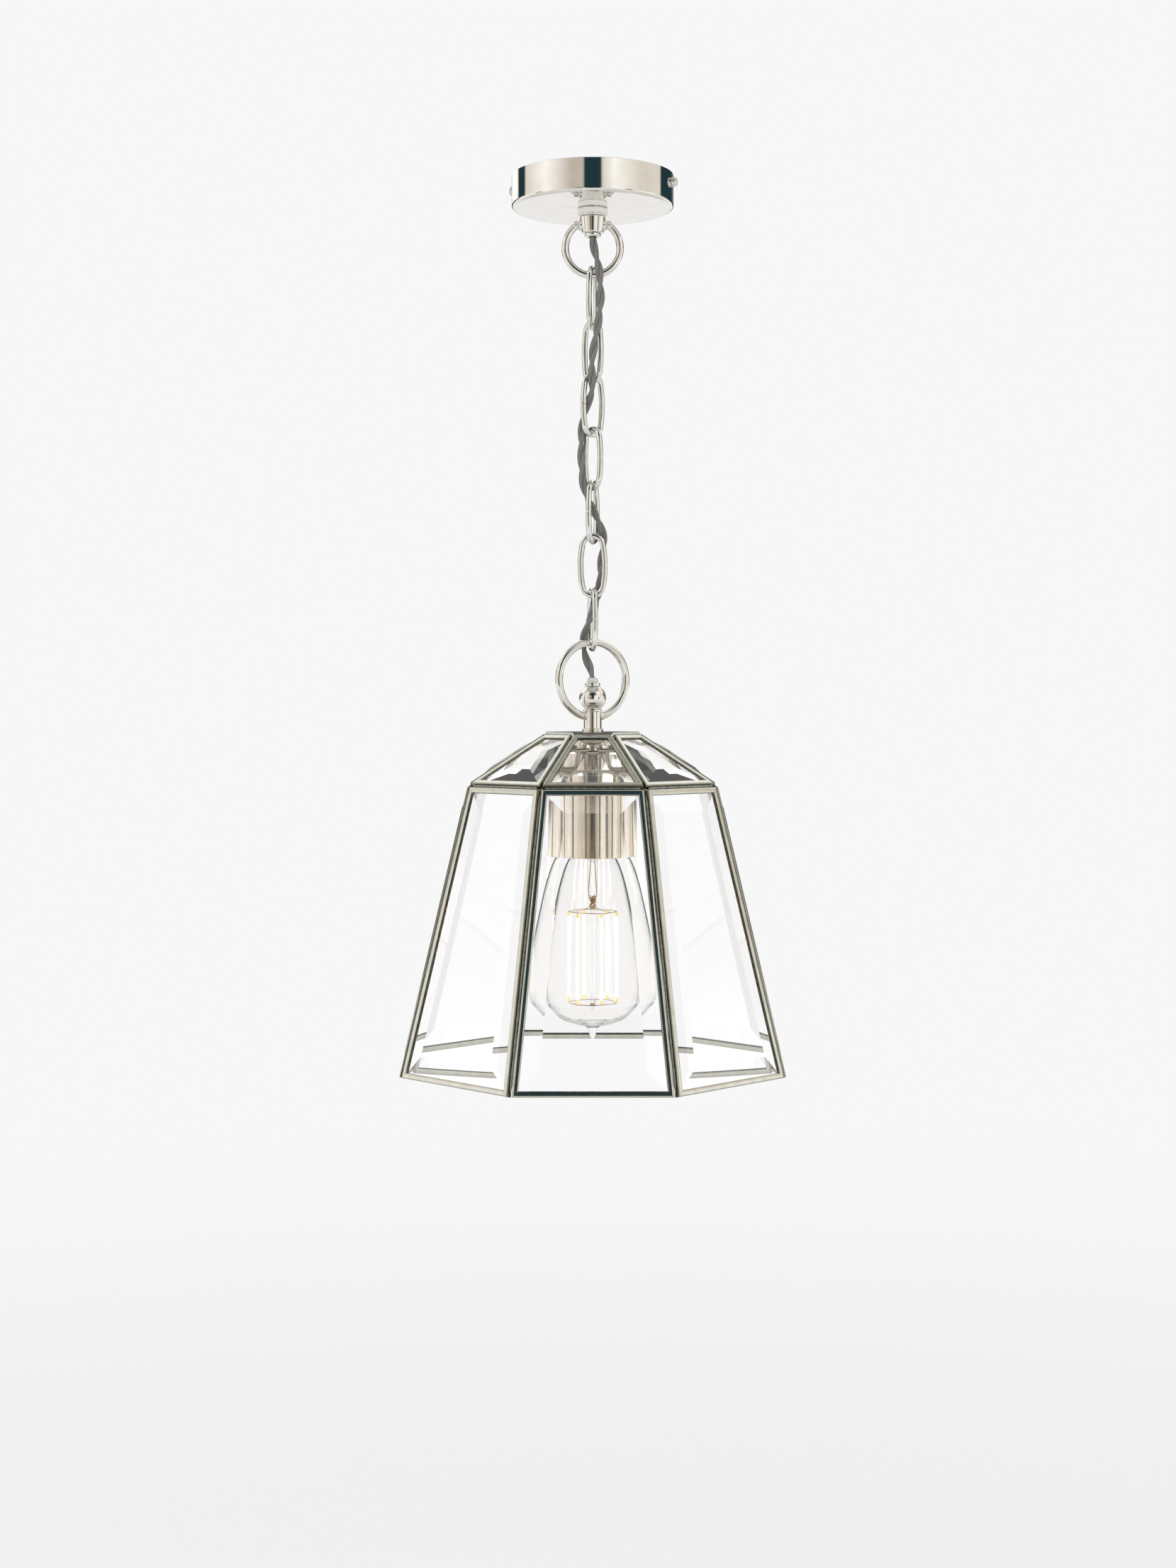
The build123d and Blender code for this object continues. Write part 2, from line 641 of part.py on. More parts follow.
# ---------------------------------------------------------------- lamp holder
spacer_top = plate_bottom - lantern_nut_height - 2 * fit
holder_spacer = turned([(nipple_hole, holder_top + fit), (6.0, holder_top + fit), (6.0, spacer_top - fit),
                        (nipple_hole, spacer_top - fit)])
holder_spacer.part.label = "holder_spacer"
export_step(holder_spacer.part, "parts/holder_spacer.step")

holder_ceiling = holder_top - holder_wall
with BuildPart() as holder_cover:
    with BuildSketch(Plane.XZ):
        with BuildLine():
            Polyline((nipple_hole, holder_top), (holder_radius, holder_top), (holder_radius, holder_bottom),
                     (holder_radius - holder_wall, holder_bottom),
                     (holder_radius - holder_wall, holder_ceiling), (nipple_hole, holder_ceiling), close=True)
        make_face()
    revolve(axis=Axis.Z)
    shoulder = holder_cover.edges().filter_by(GeomType.CIRCLE).filter_by(
        lambda e: abs(e.radius - holder_radius) < fit and e.center().Z > holder_top - 1)
    fillet(shoulder, holder_corner)
    inside = holder_cover.edges().filter_by(GeomType.CIRCLE).filter_by(
        lambda e: abs(e.radius - holder_radius + holder_wall) < fit and e.center().Z > holder_top - 2)
    fillet(inside, holder_corner - holder_wall)
holder_cover.part.label = "holder_cover"
export_step(holder_cover.part, "parts/holder_cover.step")

# the insulating body of the holder, with a wiring chamber above the screw shell
shell_outer = bulb_cap_radius + 1.3
shell_inner = bulb_cap_radius + 0.5
chamber_top = lantern_nipple_bottom - 1.0
contact_z = bulb_tip + 0.3
chamber_floor = contact_z + 4.0
shell_bottom = bulb_tip - 21.0
body_bottom = shell_bottom - 2.0
body_top = holder_ceiling - tiny
body_shoulder = holder_body_radius - holder_corner
lampholder_body = turned([
    (nipple_hole, body_top), (body_shoulder, body_top), (holder_body_radius, body_top - holder_corner),
    (holder_body_radius, body_bottom), (shell_inner + 0.3, body_bottom), (shell_inner + 0.3, shell_bottom - fit),
    (shell_outer + fit, shell_bottom - fit), (shell_outer + fit, contact_z + 1.0), (4.0, contact_z + 1.0),
    (4.0, chamber_floor), (10.0, chamber_floor), (10.0, chamber_top), (nipple_hole, chamber_top)])
lampholder_body.part.label = "lampholder_body"
export_step(lampholder_body.part, "parts/lampholder_body.step")

screw_shell = turned([(shell_inner, shell_bottom), (shell_outer, shell_bottom), (shell_outer, contact_z),
                      (shell_inner, contact_z)])
screw_shell.part.label = "screw_shell"
export_step(screw_shell.part, "parts/screw_shell.step")

centre_contact = turned([(0, contact_z), (3.2, contact_z), (3.8, contact_z + 0.8), (3.8, chamber_floor + 0.4),
                         (4.8, chamber_floor + 0.4), (4.8, chamber_floor + 1.0), (0, chamber_floor + 1.0)])
centre_contact.part.label = "centre_contact"
export_step(centre_contact.part, "parts/centre_contact.step")

# ---------------------------------------------------------------- bulb
cap_shoulder = bulb_tip - 4.5
cap_end = bulb_tip - 22.0
insulator_top = bulb_tip - 1.2
cap_skin = 0.5
thread_depth = 0.6
thread_pitch = 3.62
with BuildPart() as bulb_cap:
    with BuildSketch(Plane.XZ):
        with BuildLine():
            Polyline((bulb_cap_radius - cap_skin - thread_depth, cap_end), (bulb_cap_radius, cap_end),
                     (bulb_cap_radius, cap_shoulder), (bulb_cap_radius - 2.0, cap_shoulder + 1.2),
                     (bulb_cap_radius - 2.0, cap_shoulder), (bulb_cap_radius - cap_skin - thread_depth,
                                                             cap_shoulder - 1.5), close=True)
        make_face()
    revolve(axis=Axis.Z)
    for turn in range(4):
        groove_z = cap_shoulder - 2.6 - turn * thread_pitch
        with BuildSketch(Plane.XZ):
            with BuildLine():
                Polyline((bulb_cap_radius + 0.1, groove_z + 1.0), (bulb_cap_radius - thread_depth, groove_z),
                         (bulb_cap_radius + 0.1, groove_z - 1.0), close=True)
            make_face()
        revolve(axis=Axis.Z, mode=Mode.SUBTRACT)
bulb_cap.part.label = "bulb_cap"
export_step(bulb_cap.part, "parts/bulb_cap.step")

with BuildPart() as bulb_contact:
    with BuildSketch(Plane.XZ):
        with BuildLine():
            rim = bulb_cap_radius - 2.0 - fit
            Polyline((0, cap_shoulder - 1), (rim, cap_shoulder - 1), (rim, cap_shoulder + 1),
                     (5.2, insulator_top), (4.4, bulb_tip - 0.4), (2.8, bulb_tip), (0, bulb_tip), close=True)
        make_face()
    revolve(axis=Axis.Z)
bulb_contact.part.label = "bulb_contact"
export_step(bulb_contact.part, "parts/bulb_contact.step")

# pear shaped envelope, widest about two thirds of the way down, with the sealing tip at the bottom
neck_radius = bulb_cap_radius - cap_skin - thread_depth - 0.2
bulb_bottom = bulb_tip - 152.0
glass_top = cap_end + 4.0
tip_length = 10.0
wide_z = bulb_bottom + 31.0


dome_z = bulb_bottom + tip_length
with BuildPart() as bulb_glass:
    with BuildSketch(Plane.XZ):
        with BuildLine():
            Line((0, glass_top), (neck_radius, glass_top))
            Line((neck_radius, glass_top), (neck_radius, cap_end - 1))
            Spline((neck_radius, cap_end - 1), (19.0, cap_end - 16), (25.5, cap_end - 44),
                   (bulb_glass_radius, wide_z), tangents=[(0.5, -1), (0, -1)])
            Spline((bulb_glass_radius, wide_z), (24.0, dome_z + 5.5), (6.0, dome_z - 0.5),
                   tangents=[(0, -1), (-1, -0.2)])
            Spline((6.0, dome_z - 0.5), (3.0, bulb_bottom + 6.0), (1.8, bulb_bottom + 1.6), (0, bulb_bottom),
                   tangents=[(-1, -0.2), (-1, 0)])
            Line((0, bulb_bottom), (0, glass_top))
        make_face()
    revolve(axis=Axis.Z)
    with BuildSketch(Plane.XZ):
        with BuildLine():
            inner_neck = neck_radius - bulb_glass_wall
            inner_wide = bulb_glass_radius - bulb_glass_wall
            Line((0, glass_top), (inner_neck, glass_top))
            Line((inner_neck, glass_top), (inner_neck, cap_end - 1))
            Spline((inner_neck, cap_end - 1), (19.0 - bulb_glass_wall, cap_end - 16),
                   (25.5 - bulb_glass_wall, cap_end - 44), (inner_wide, wide_z), tangents=[(0.5, -1), (0, -1)])
            Spline((inner_wide, wide_z), (23.4, dome_z + 6.4), (6.0, dome_z + 0.5), (0, dome_z - 0.3),
                   tangents=[(0, -1), (-1, 0)])
            Line((0, dome_z - 0.3), (0, glass_top))
        make_face()
    revolve(axis=Axis.Z, mode=Mode.SUBTRACT)
bulb_glass.part.label = "bulb_glass"
export_step(bulb_glass.part, "parts/bulb_glass.step")

# stem: a glass flare in the neck, a pinched tube, and a thin rod down to the lower support
stem_top = glass_top - 1.0
filament_top = bulb_tip - 67.0
filament_bottom = filament_top - filament_length
stem_pinch = filament_top + 8.0
with BuildPart() as bulb_stem:
    with BuildSketch(Plane.XZ):
        with BuildLine():
            Polyline((0, filament_bottom - 2.0), (1.0, filament_bottom - 2.0), (1.0, stem_pinch - 2.0),
                     (2.6, stem_pinch), (3.2, stem_pinch + 8.0), (4.2, stem_top - 9.0),
                     (neck_radius - bulb_glass_wall - clear, stem_top), (neck_radius - 2.2, stem_top + 0.4),
                     (3.0, stem_top - 9.0), (0, stem_top - 12.0), close=True)
        make_face()
    revolve(axis=Axis.Z)
bulb_stem.part.label = "bulb_stem"
export_step(bulb_stem.part, "parts/bulb_stem.step")

with BuildPart() as bulb_filaments:
    with BuildSketch(Plane.XY.offset(filament_top)):
        with PolarLocations(filament_circle, filament_count, start_angle=filament_start_angle - 90):
            Circle(filament_radius)
    extrude(amount=-filament_length)
bulb_filaments.part.label = "bulb_filaments"
export_step(bulb_filaments.part, "parts/bulb_filaments.step")

support_wire = 0.4
with BuildPart() as filament_supports:
    for z in (filament_top + fit + support_wire, filament_bottom - fit - support_wire):
        with Locations((0, 0, z)):
            Torus(filament_circle, support_wire)
        hub = 1.0 + fit
        with BuildSketch(Plane.XY.offset(z - support_wire)):
            Circle(hub + 0.8)
            with PolarLocations(filament_circle / 2, filament_count // 2, start_angle=filament_start_angle - 90):
                Rectangle(filament_circle, support_wire * 1.6)
            Circle(hub, mode=Mode.SUBTRACT)
        extrude(amount=2 * support_wire)
filament_supports.part.label = "filament_supports"
export_step(filament_supports.part, "parts/filament_supports.step")

# ---------------------------------------------------------------- flex
# The twisted flex hangs from the boss bush, lies along and through the links, and goes into the
# bush on the finial. Its route is a list of points with an arc at each corner.
flex_route = [
    (0, 0, -33), (0, 0, -46), (3.4, -4.6, -57), (4.9, -7.0, -69), (5.6, -6.4, -83), (4.2, -9.8, -97),
    (1.5, -10.6, -111), (-0.6, -9.3, -124), (-0.5, -7.9, -135.4), (-0.3, -2.7, -145.2), (-4.4, -0.4, -154),
    (-7.0, 0.9, -165), (-7.6, 0.7, -178), (-7.5, 0.3, -191), (-6.8, -1.2, -204), (-3.8, -1.4, -215),
    (1.2, -0.4, -225), (5.8, 2.2, -234), (7.9, 5.8, -244), (5.8, 6.4, -256), (5.0, 5.4, -269),
    (4.0, 5.6, -280), (0.4, 1.6, -291), (-4.2, 1.0, -301), (-6.6, 3.8, -311.5), (-4.6, 2.8, -322.5),
    (0, 0, -331.5), (0, 0, -343),
]


def corner_radii(route):
    """The largest arc at each corner that leaves a tenth of the shorter run straight."""
    radii = []
    for before, at, after in zip(route, route[1:], route[2:]):
        into = Vector(*at) - Vector(*before)
        out = Vector(*after) - Vector(*at)
        turn = radians(into.get_angle(out))
        radii.append(0.45 * min(into.length, out.length) / tan(turn / 2))
    return radii


flex_radii = corner_radii(flex_route)
with BuildPart() as flex:
    with BuildLine() as flex_line:
        FilletPolyline(*flex_route, radius=flex_radii)
    with BuildSketch(Plane(origin=flex_route[0], z_dir=(0, 0, -1))):
        Circle(flex_diameter / 2)
    sweep()
flex.part.label = "flex"
export_step(flex.part, "parts/flex.step")
flex_length = sum(edge.length for edge in flex_line.edges())
print("flex corner radii", [round(r, 1) for r in flex_radii])
print("flex length", round(flex_length, 1), "volume", round(flex.part.volume, 1),
      "section times length", round(pi * (flex_diameter / 2)**2 * flex_length, 1))

# the flex's cores part inside the rose and go up to the terminal block
core_spread = 1.6
block_mouth = block_width / 2 + fit
strap_turn = radians(side_screw_angle)


def on_strap(x, y, z):
    """A point given in the strap's own directions."""
    return (x * cos(strap_turn) - y * sin(strap_turn), x * sin(strap_turn) + y * cos(strap_turn), z)


with BuildPart() as rose_leads:
    for i in range(3):
        a = radians(120 * i - 90)
        sideways = block_pitch * (i - 1)
        near = (core_spread * cos(a), core_spread * sin(a))
        lead_route = [(near[0], near[1], flex_route[0][2] + tiny), (near[0], near[1], rose_nipple_top + 1.2),
                      on_strap(sideways * 0.8, -7.0, rose_nipple_top + 1.6),
                      on_strap(sideways, -block_mouth - 6.0, block_bottom + 1.0),
                      on_strap(sideways, -block_mouth - 4.5, block_top - block_height / 2),
                      on_strap(sideways, -block_mouth + 3.0, block_top - block_height / 2)]
        with BuildLine():
            lead_line = FilletPolyline(*lead_route, radius=1.2)
        with BuildSketch(Plane(origin=lead_route[0], z_dir=(0, 0, 1))):
            Circle(core_radius)
        sweep(path=lead_line)
rose_leads.part.label = "rose_leads"
export_step(rose_leads.part, "parts/rose_leads.step")

# and below the finial they run down the nipple into the holder's wiring chamber
lead_top = flex_route[-1][2] - clear
lead_bottom = chamber_floor + 2.0
with BuildPart() as holder_leads:
    with BuildSketch(Plane.XY.offset(lead_top)):
        with PolarLocations(core_spread, 3, start_angle=-90):
            Circle(core_radius)
    extrude(amount=lead_bottom - lead_top)
holder_leads.part.label = "holder_leads"
export_step(holder_leads.part, "parts/holder_leads.step")

print("collar axis z", round(collar_z, 3), "plate top", round(plate_top, 3),
      "base", round(body.top_z - body.fall, 3))
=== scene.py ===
import bpy
import bmesh
from math import acos, asin, atan2, cos, pi, radians, sin, sqrt, tan
from mathutils import Matrix, Vector


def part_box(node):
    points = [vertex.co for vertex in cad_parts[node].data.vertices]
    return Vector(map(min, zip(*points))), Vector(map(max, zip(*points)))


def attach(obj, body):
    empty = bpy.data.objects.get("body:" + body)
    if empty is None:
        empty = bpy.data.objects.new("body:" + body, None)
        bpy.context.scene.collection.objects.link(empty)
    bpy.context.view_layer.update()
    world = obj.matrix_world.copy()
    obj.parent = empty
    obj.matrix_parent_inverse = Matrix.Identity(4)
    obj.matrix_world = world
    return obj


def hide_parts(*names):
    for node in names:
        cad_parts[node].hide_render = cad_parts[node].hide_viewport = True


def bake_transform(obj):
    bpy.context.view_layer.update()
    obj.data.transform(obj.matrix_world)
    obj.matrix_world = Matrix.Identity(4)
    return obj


# A hanging lantern: rose, ring, chain, ring, eight sided glass body, holder and bulb.
# Metres, Z up, the origin in the ceiling plane on the lantern's axis.

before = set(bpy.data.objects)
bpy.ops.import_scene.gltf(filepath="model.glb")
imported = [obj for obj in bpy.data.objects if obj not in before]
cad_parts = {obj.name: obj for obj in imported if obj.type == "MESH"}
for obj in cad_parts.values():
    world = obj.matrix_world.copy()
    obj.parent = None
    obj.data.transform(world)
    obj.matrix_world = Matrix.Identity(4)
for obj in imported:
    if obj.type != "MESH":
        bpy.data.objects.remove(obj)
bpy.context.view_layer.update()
mm = 0.001
print("frame loaded")


def heights(node):
    # a node's lowest and highest point, in millimetres
    lowest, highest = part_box(node)
    return lowest.z / mm, highest.z / mm


# camera
cameraSettings = {"lens": 51.56, "sensor": 36, "distance": 1.5, "eye": -0.3526, "side": -0.0031,
                  "shift": -0.051}
cameraData = bpy.data.cameras.new("camera")
cameraData.lens = cameraSettings["lens"]
cameraData.sensor_width = cameraSettings["sensor"]
cameraData.shift_y = cameraSettings["shift"]
cameraData.clip_start = 0.05
cameraData.clip_end = 50
camera = bpy.data.objects.new("camera", cameraData)
camera.location = (cameraSettings["side"], -cameraSettings["distance"], cameraSettings["eye"])
camera.rotation_euler = (pi / 2, 0, 0)
bpy.context.collection.objects.link(camera)
bpy.context.scene.camera = camera


# mesh helpers
def addObject(name, mesh):
    obj = bpy.data.objects.new(name, mesh)
    bpy.context.collection.objects.link(obj)
    return obj


def tidyMesh(mesh, sharp=32):
    # welds, turns faces outwards and marks the hard edges
    bm = bmesh.new()
    bm.from_mesh(mesh)
    bmesh.ops.remove_doubles(bm, verts=bm.verts, dist=1e-7)
    bmesh.ops.recalc_face_normals(bm, faces=bm.faces)
    bm.to_mesh(mesh)
    bm.free()
    mesh.shade_smooth()
    mesh.set_sharp_from_angle(angle=radians(sharp))
    return mesh


def meshFrom(name, verts, faces, sharp=32):
    mesh = bpy.data.meshes.new(name)
    mesh.from_pydata([tuple(v) for v in verts], [], faces)
    return tidyMesh(mesh, sharp)


def roundCorners(points, radii, steps=6):
    # a closed outline with an arc of the given radius at each corner, all in millimetres
    out = []
    n = len(points)
    for i, (p, r) in enumerate(zip(points, radii)):
        p = Vector(p)
        if r <= 0:
            out.append(p)
            continue
        a = (Vector(points[i - 1]) - p).normalized()
        b = (Vector(points[(i + 1) % n]) - p).normalized()
        half = a.angle(b) / 2
        if half > pi / 2 - 0.02:
            out.append(p)
            continue
        reach = r / tan(half)
        start, end = p + a * reach, p + b * reach
        centre = p + (a + b).normalized() * (r / sin(half))
        s, e = start - centre, end - centre
        sweep = s.angle(e)
        for k in range(steps + 1):
            t = k / steps
            out.append(centre + (s * sin((1 - t) * sweep) + e * sin(t * sweep)) / sin(sweep))
    return out


def holdStraights(outline, closed, keep=0.06, shortest=0.9, core=0.5):
    # a point close to each end of a long straight, so that the shading stays straight there
    points = [Vector(p) for p in outline]
    pairs = list(zip(points, points[1:]))
    if closed:
        pairs.append((points[-1], points[0]))
    out = []
    for a, b in pairs:
        out.append(a)
        run = b - a
        if run.length > shortest and max(a.x, b.x) > core:
            out += [a + run.normalized() * keep, b - run.normalized() * keep]
    return out if closed else out + [points[-1]]


def lathe(name, outline, segments=96, sharp=32, closed=True):
    # turns a half outline in millimetres about Z; points on the axis become poles
    verts, faces, rings = [], [], []
    outline = holdStraights(outline, closed)
    for p in outline:
        r, z = p[0] * mm, p[1] * mm
        if r < 1e-7:
            rings.append([len(verts)])
            verts.append((0, 0, z))
            continue
        rings.append(list(range(len(verts), len(verts) + segments)))
        for k in range(segments):
            a = 2 * pi * k / segments
            verts.append((r * cos(a), r * sin(a), z))
    pairs = list(zip(rings, rings[1:]))
    if closed:
        pairs.append((rings[-1], rings[0]))
    for a, b in pairs:
        if len(a) == 1 and len(b) == 1:
            continue
        for k in range(segments):
            j = (k + 1) % segments
            if len(a) == 1:
                faces.append((a[0], b[j], b[k]))
            elif len(b) == 1:
                faces.append((a[k], a[j], b[0]))
            else:
                faces.append((a[k], a[j], b[j], b[k]))
    return meshFrom(name, verts, faces, sharp)


def arc(x, y, radius, start, end, steps):
    # points round part of a circle
    turns = [start + (end - start) * k / steps for k in range(steps + 1)]
    return [(x + radius * cos(t), y + radius * sin(t)) for t in turns]


def smoothThrough(points, steps=8):
    # a smooth line that passes through the given points
    out = []
    for i in range(len(points) - 1):
        p0 = Vector(points[max(i - 1, 0)])
        p1, p2 = Vector(points[i]), Vector(points[i + 1])
        p3 = Vector(points[min(i + 2, len(points) - 1)])
        for k in range(steps):
            t = k / steps
            out.append(0.5 * ((2 * p1) + (p2 - p0) * t + (2 * p0 - 5 * p1 + 4 * p2 - p3) * t * t
                              + (3 * p1 - p0 - 3 * p2 + p3) * t ** 3))
    out.append(Vector(points[-1]))
    return out


def turnedPin(name, radius, start, end, bevel=0.2, segments=40):
    # a solid pin with eased ends between two points, all in millimetres
    run = Vector(end) - Vector(start)
    outline = roundCorners([(0, 0), (radius, 0), (radius, run.length), (0, run.length)],
                           [0, bevel, bevel, 0], 4)
    mesh = lathe(name, outline, segments, closed=False)
    turn = run.to_track_quat("Z", "Y").to_matrix().to_4x4()
    mesh.transform(Matrix.Translation(Vector(start) * mm) @ turn)
    return mesh


def joinMeshes(name, meshes):
    bm = bmesh.new()
    for m in meshes:
        bm.from_mesh(m)
    out = bpy.data.meshes.new(name)
    bm.to_mesh(out)
    bm.free()
    out.shade_smooth()
    out.set_sharp_from_angle(angle=radians(32))
    return out


# node trees for what repeats round the axis and for bent wire
def socketId(tree, name):
    return [s.identifier for s in tree.interface.items_tree if s.name == name and s.in_out == "INPUT"][0]


def newTree(name, sockets):
    tree = bpy.data.node_groups.new(name, "GeometryNodeTree")
    tree.interface.new_socket("Geometry", in_out="INPUT", socket_type="NodeSocketGeometry")
    for label, kind, value in sockets:
        s = tree.interface.new_socket(label, in_out="INPUT", socket_type=kind)
        if value is not None:
            s.default_value = value
    tree.interface.new_socket("Geometry", in_out="OUTPUT", socket_type="NodeSocketGeometry")
    return tree, tree.nodes.new("NodeGroupInput"), tree.nodes.new("NodeGroupOutput")


def makeAroundTree():
    # copies a shape at even steps round the Z axis
    tree, source, target = newTree("aroundAxis", [("Count", "NodeSocketInt", 8),
                                                  ("Start Angle", "NodeSocketFloat", 0.0),
                                                  ("Material", "NodeSocketMaterial", None)])
    link, new = tree.links.new, tree.nodes.new
    line = new("GeometryNodeMeshLine")
    line.inputs["Offset"].default_value = (0, 0, 0)
    index = new("GeometryNodeInputIndex")
    step = new("ShaderNodeMath")
    step.operation = "DIVIDE"
    step.inputs[0].default_value = 2 * pi
    turn = new("ShaderNodeMath")
    turn.operation = "MULTIPLY_ADD"
    angles = new("ShaderNodeCombineXYZ")
    euler = new("FunctionNodeEulerToRotation")
    copies = new("GeometryNodeInstanceOnPoints")
    real = new("GeometryNodeRealizeInstances")
    paint = new("GeometryNodeSetMaterial")
    link(source.outputs["Count"], line.inputs["Count"])
    link(source.outputs["Count"], step.inputs[1])
    link(index.outputs[0], turn.inputs[0])
    link(step.outputs[0], turn.inputs[1])
    link(source.outputs["Start Angle"], turn.inputs[2])
    link(turn.outputs[0], angles.inputs["Z"])
    link(angles.outputs[0], euler.inputs[0])
    link(line.outputs[0], copies.inputs["Points"])
    link(source.outputs["Geometry"], copies.inputs["Instance"])
    link(euler.outputs[0], copies.inputs["Rotation"])
    link(copies.outputs[0], real.inputs[0])
    link(real.outputs[0], paint.inputs["Geometry"])
    link(source.outputs["Material"], paint.inputs["Material"])
    link(paint.outputs[0], target.inputs[0])
    return tree


def makeWireTree():
    # bends a round wire along a line of edges and closes its ends
    tree, source, target = newTree("bentWire", [("Wire Radius", "NodeSocketFloat", 0.001),
                                                ("Sides", "NodeSocketInt", 32),
                                                ("Material", "NodeSocketMaterial", None)])
    link, new = tree.links.new, tree.nodes.new
    line = new("GeometryNodeMeshToCurve")
    circle = new("GeometryNodeCurvePrimitiveCircle")
    tube = new("GeometryNodeCurveToMesh")
    tube.inputs["Fill Caps"].default_value = True
    real = new("GeometryNodeRealizeInstances")
    paint = new("GeometryNodeSetMaterial")
    link(source.outputs["Geometry"], line.inputs["Mesh"])
    link(source.outputs["Sides"], circle.inputs["Resolution"])
    link(source.outputs["Wire Radius"], circle.inputs["Radius"])
    link(line.outputs[0], tube.inputs["Curve"])
    link(circle.outputs[0], tube.inputs["Profile Curve"])
    link(tube.outputs[0], real.inputs[0])
    link(real.outputs[0], paint.inputs["Geometry"])
    link(source.outputs["Material"], paint.inputs["Material"])
    link(paint.outputs[0], target.inputs[0])
    return tree


aroundTree = makeAroundTree()
wireTree = makeWireTree()


def runTree(name, mesh, tree, values, sharp=32):
    # runs a tree on a mesh and keeps the result as a plain mesh
    work = addObject(name + "Work", mesh)
    modifier = work.modifiers.new("nodes", "NODES")
    modifier.node_group = tree
    for label, value in values.items():
        modifier[socketId(tree, label)] = value
    graph = bpy.context.evaluated_depsgraph_get()
    out = bpy.data.meshes.new_from_object(work.evaluated_get(graph))
    bpy.data.objects.remove(work)
    out.name = name
    return tidyMesh(out, sharp)


def wire(name, points, radius, material, closed=False, sides=32):
    mesh = bpy.data.meshes.new(name)
    edges = [(i, i + 1) for i in range(len(points) - 1)]
    if closed:
        edges.append((len(points) - 1, 0))
    mesh.from_pydata([Vector(p) * mm for p in points], edges, [])
    values = {"Wire Radius": radius * mm, "Sides": sides, "Material": material}
    return runTree(name, mesh, wireTree, values, 50)


def around(name, mesh, count, start, material, sharp=32):
    values = {"Count": count, "Start Angle": start, "Material": material}
    return runTree(name, mesh, aroundTree, values, sharp)


def place(name, mesh, material, body, slot, *nodes):
    # gives a mesh its finish, its body and the nodes that it stands for
    if material is not None:
        mesh.materials.clear()
        mesh.materials.append(material)
    obj = addObject(name, mesh)
    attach(obj, body)
    if nodes:
        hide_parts(*nodes)
    return obj


def turned(name, outline, segments, material, body, slot, node, sharp=32):
    # a piece that a lathe makes, standing for one node
    return place(name, lathe(name, outline, segments, sharp), material, body, slot, node)


# finishes
def newMaterial(name):
    mat = bpy.data.materials.new(name)
    mat.use_nodes = True
    return mat, mat.node_tree, mat.node_tree.nodes["Principled BSDF"]


def noiseField(tree, scale, detail=3.0, stretch=(1, 1, 1), distortion=0.0):
    coords = tree.nodes.new("ShaderNodeTexCoord")
    mapping = tree.nodes.new("ShaderNodeMapping")
    mapping.inputs["Scale"].default_value = stretch
    noise = tree.nodes.new("ShaderNodeTexNoise")
    noise.inputs["Scale"].default_value = scale
    noise.inputs["Detail"].default_value = detail
    noise.inputs["Distortion"].default_value = distortion
    tree.links.new(coords.outputs["Object"], mapping.inputs["Vector"])
    tree.links.new(mapping.outputs[0], noise.inputs["Vector"])
    return noise.outputs["Fac"]


def ramp(tree, source, stops):
    node = tree.nodes.new("ShaderNodeValToRGB")
    items = node.color_ramp.elements
    while len(items) > 1:
        items.remove(items[-1])
    items[0].position = stops[0][0]
    items[0].color = (*stops[0][1], 1)
    for position, colour in stops[1:]:
        items.new(position).color = (*colour, 1)
    tree.links.new(source, node.inputs[0])
    return node.outputs[0]


def spread(tree, source, lowValue, highValue):
    node = tree.nodes.new("ShaderNodeMapRange")
    node.inputs["To Min"].default_value = lowValue
    node.inputs["To Max"].default_value = highValue
    tree.links.new(source, node.inputs["Value"])
    return node.outputs[0]


def bump(tree, bsdf, source, strength, distance=0.0002):
    node = tree.nodes.new("ShaderNodeBump")
    node.inputs["Strength"].default_value = strength
    node.inputs["Distance"].default_value = distance
    tree.links.new(source, node.inputs["Height"])
    tree.links.new(node.outputs[0], bsdf.inputs["Normal"])


def metal(name, dark, light, rough, grain=120, relief=0.05, stretch=(1, 1, 1)):
    # a metal whose colour and polish drift a little over its surface; rough is its range
    mat, tree, bsdf = newMaterial(name)
    bsdf.inputs["Metallic"].default_value = 1.0
    drift = noiseField(tree, grain, 4.0)
    tree.links.new(ramp(tree, drift, [(0.3, dark), (0.7, light)]), bsdf.inputs["Base Color"])
    smear = noiseField(tree, grain * 3, 5.0, stretch)
    tree.links.new(spread(tree, smear, *rough), bsdf.inputs["Roughness"])
    bump(tree, bsdf, noiseField(tree, grain * 25, 2.0, stretch), relief, 0.00003)
    return mat


def plastic(name, dark, light, rough, grain=200, relief=0.15):
    mat, tree, bsdf = newMaterial(name)
    drift = noiseField(tree, grain, 4.0)
    tree.links.new(ramp(tree, drift, [(0.3, dark), (0.7, light)]), bsdf.inputs["Base Color"])
    tree.links.new(spread(tree, drift, *rough), bsdf.inputs["Roughness"])
    bump(tree, bsdf, noiseField(tree, grain * 12, 2.0), relief, 0.00005)
    return mat


def clearGlass(name, tint, ior, smear=0.012, wave=0.02, shine=0.5):
    mat, tree, bsdf = newMaterial(name)
    bsdf.inputs["Base Color"].default_value = (*tint, 1)
    bsdf.inputs["IOR"].default_value = ior
    bsdf.inputs["Specular IOR Level"].default_value = shine
    bsdf.inputs["Transmission Weight"].default_value = 1.0
    haze = noiseField(tree, 35, 4.0)
    tree.links.new(spread(tree, haze, 0.0, smear), bsdf.inputs["Roughness"])
    bump(tree, bsdf, noiseField(tree, 14, 1.0), wave, 0.0002)
    return mat


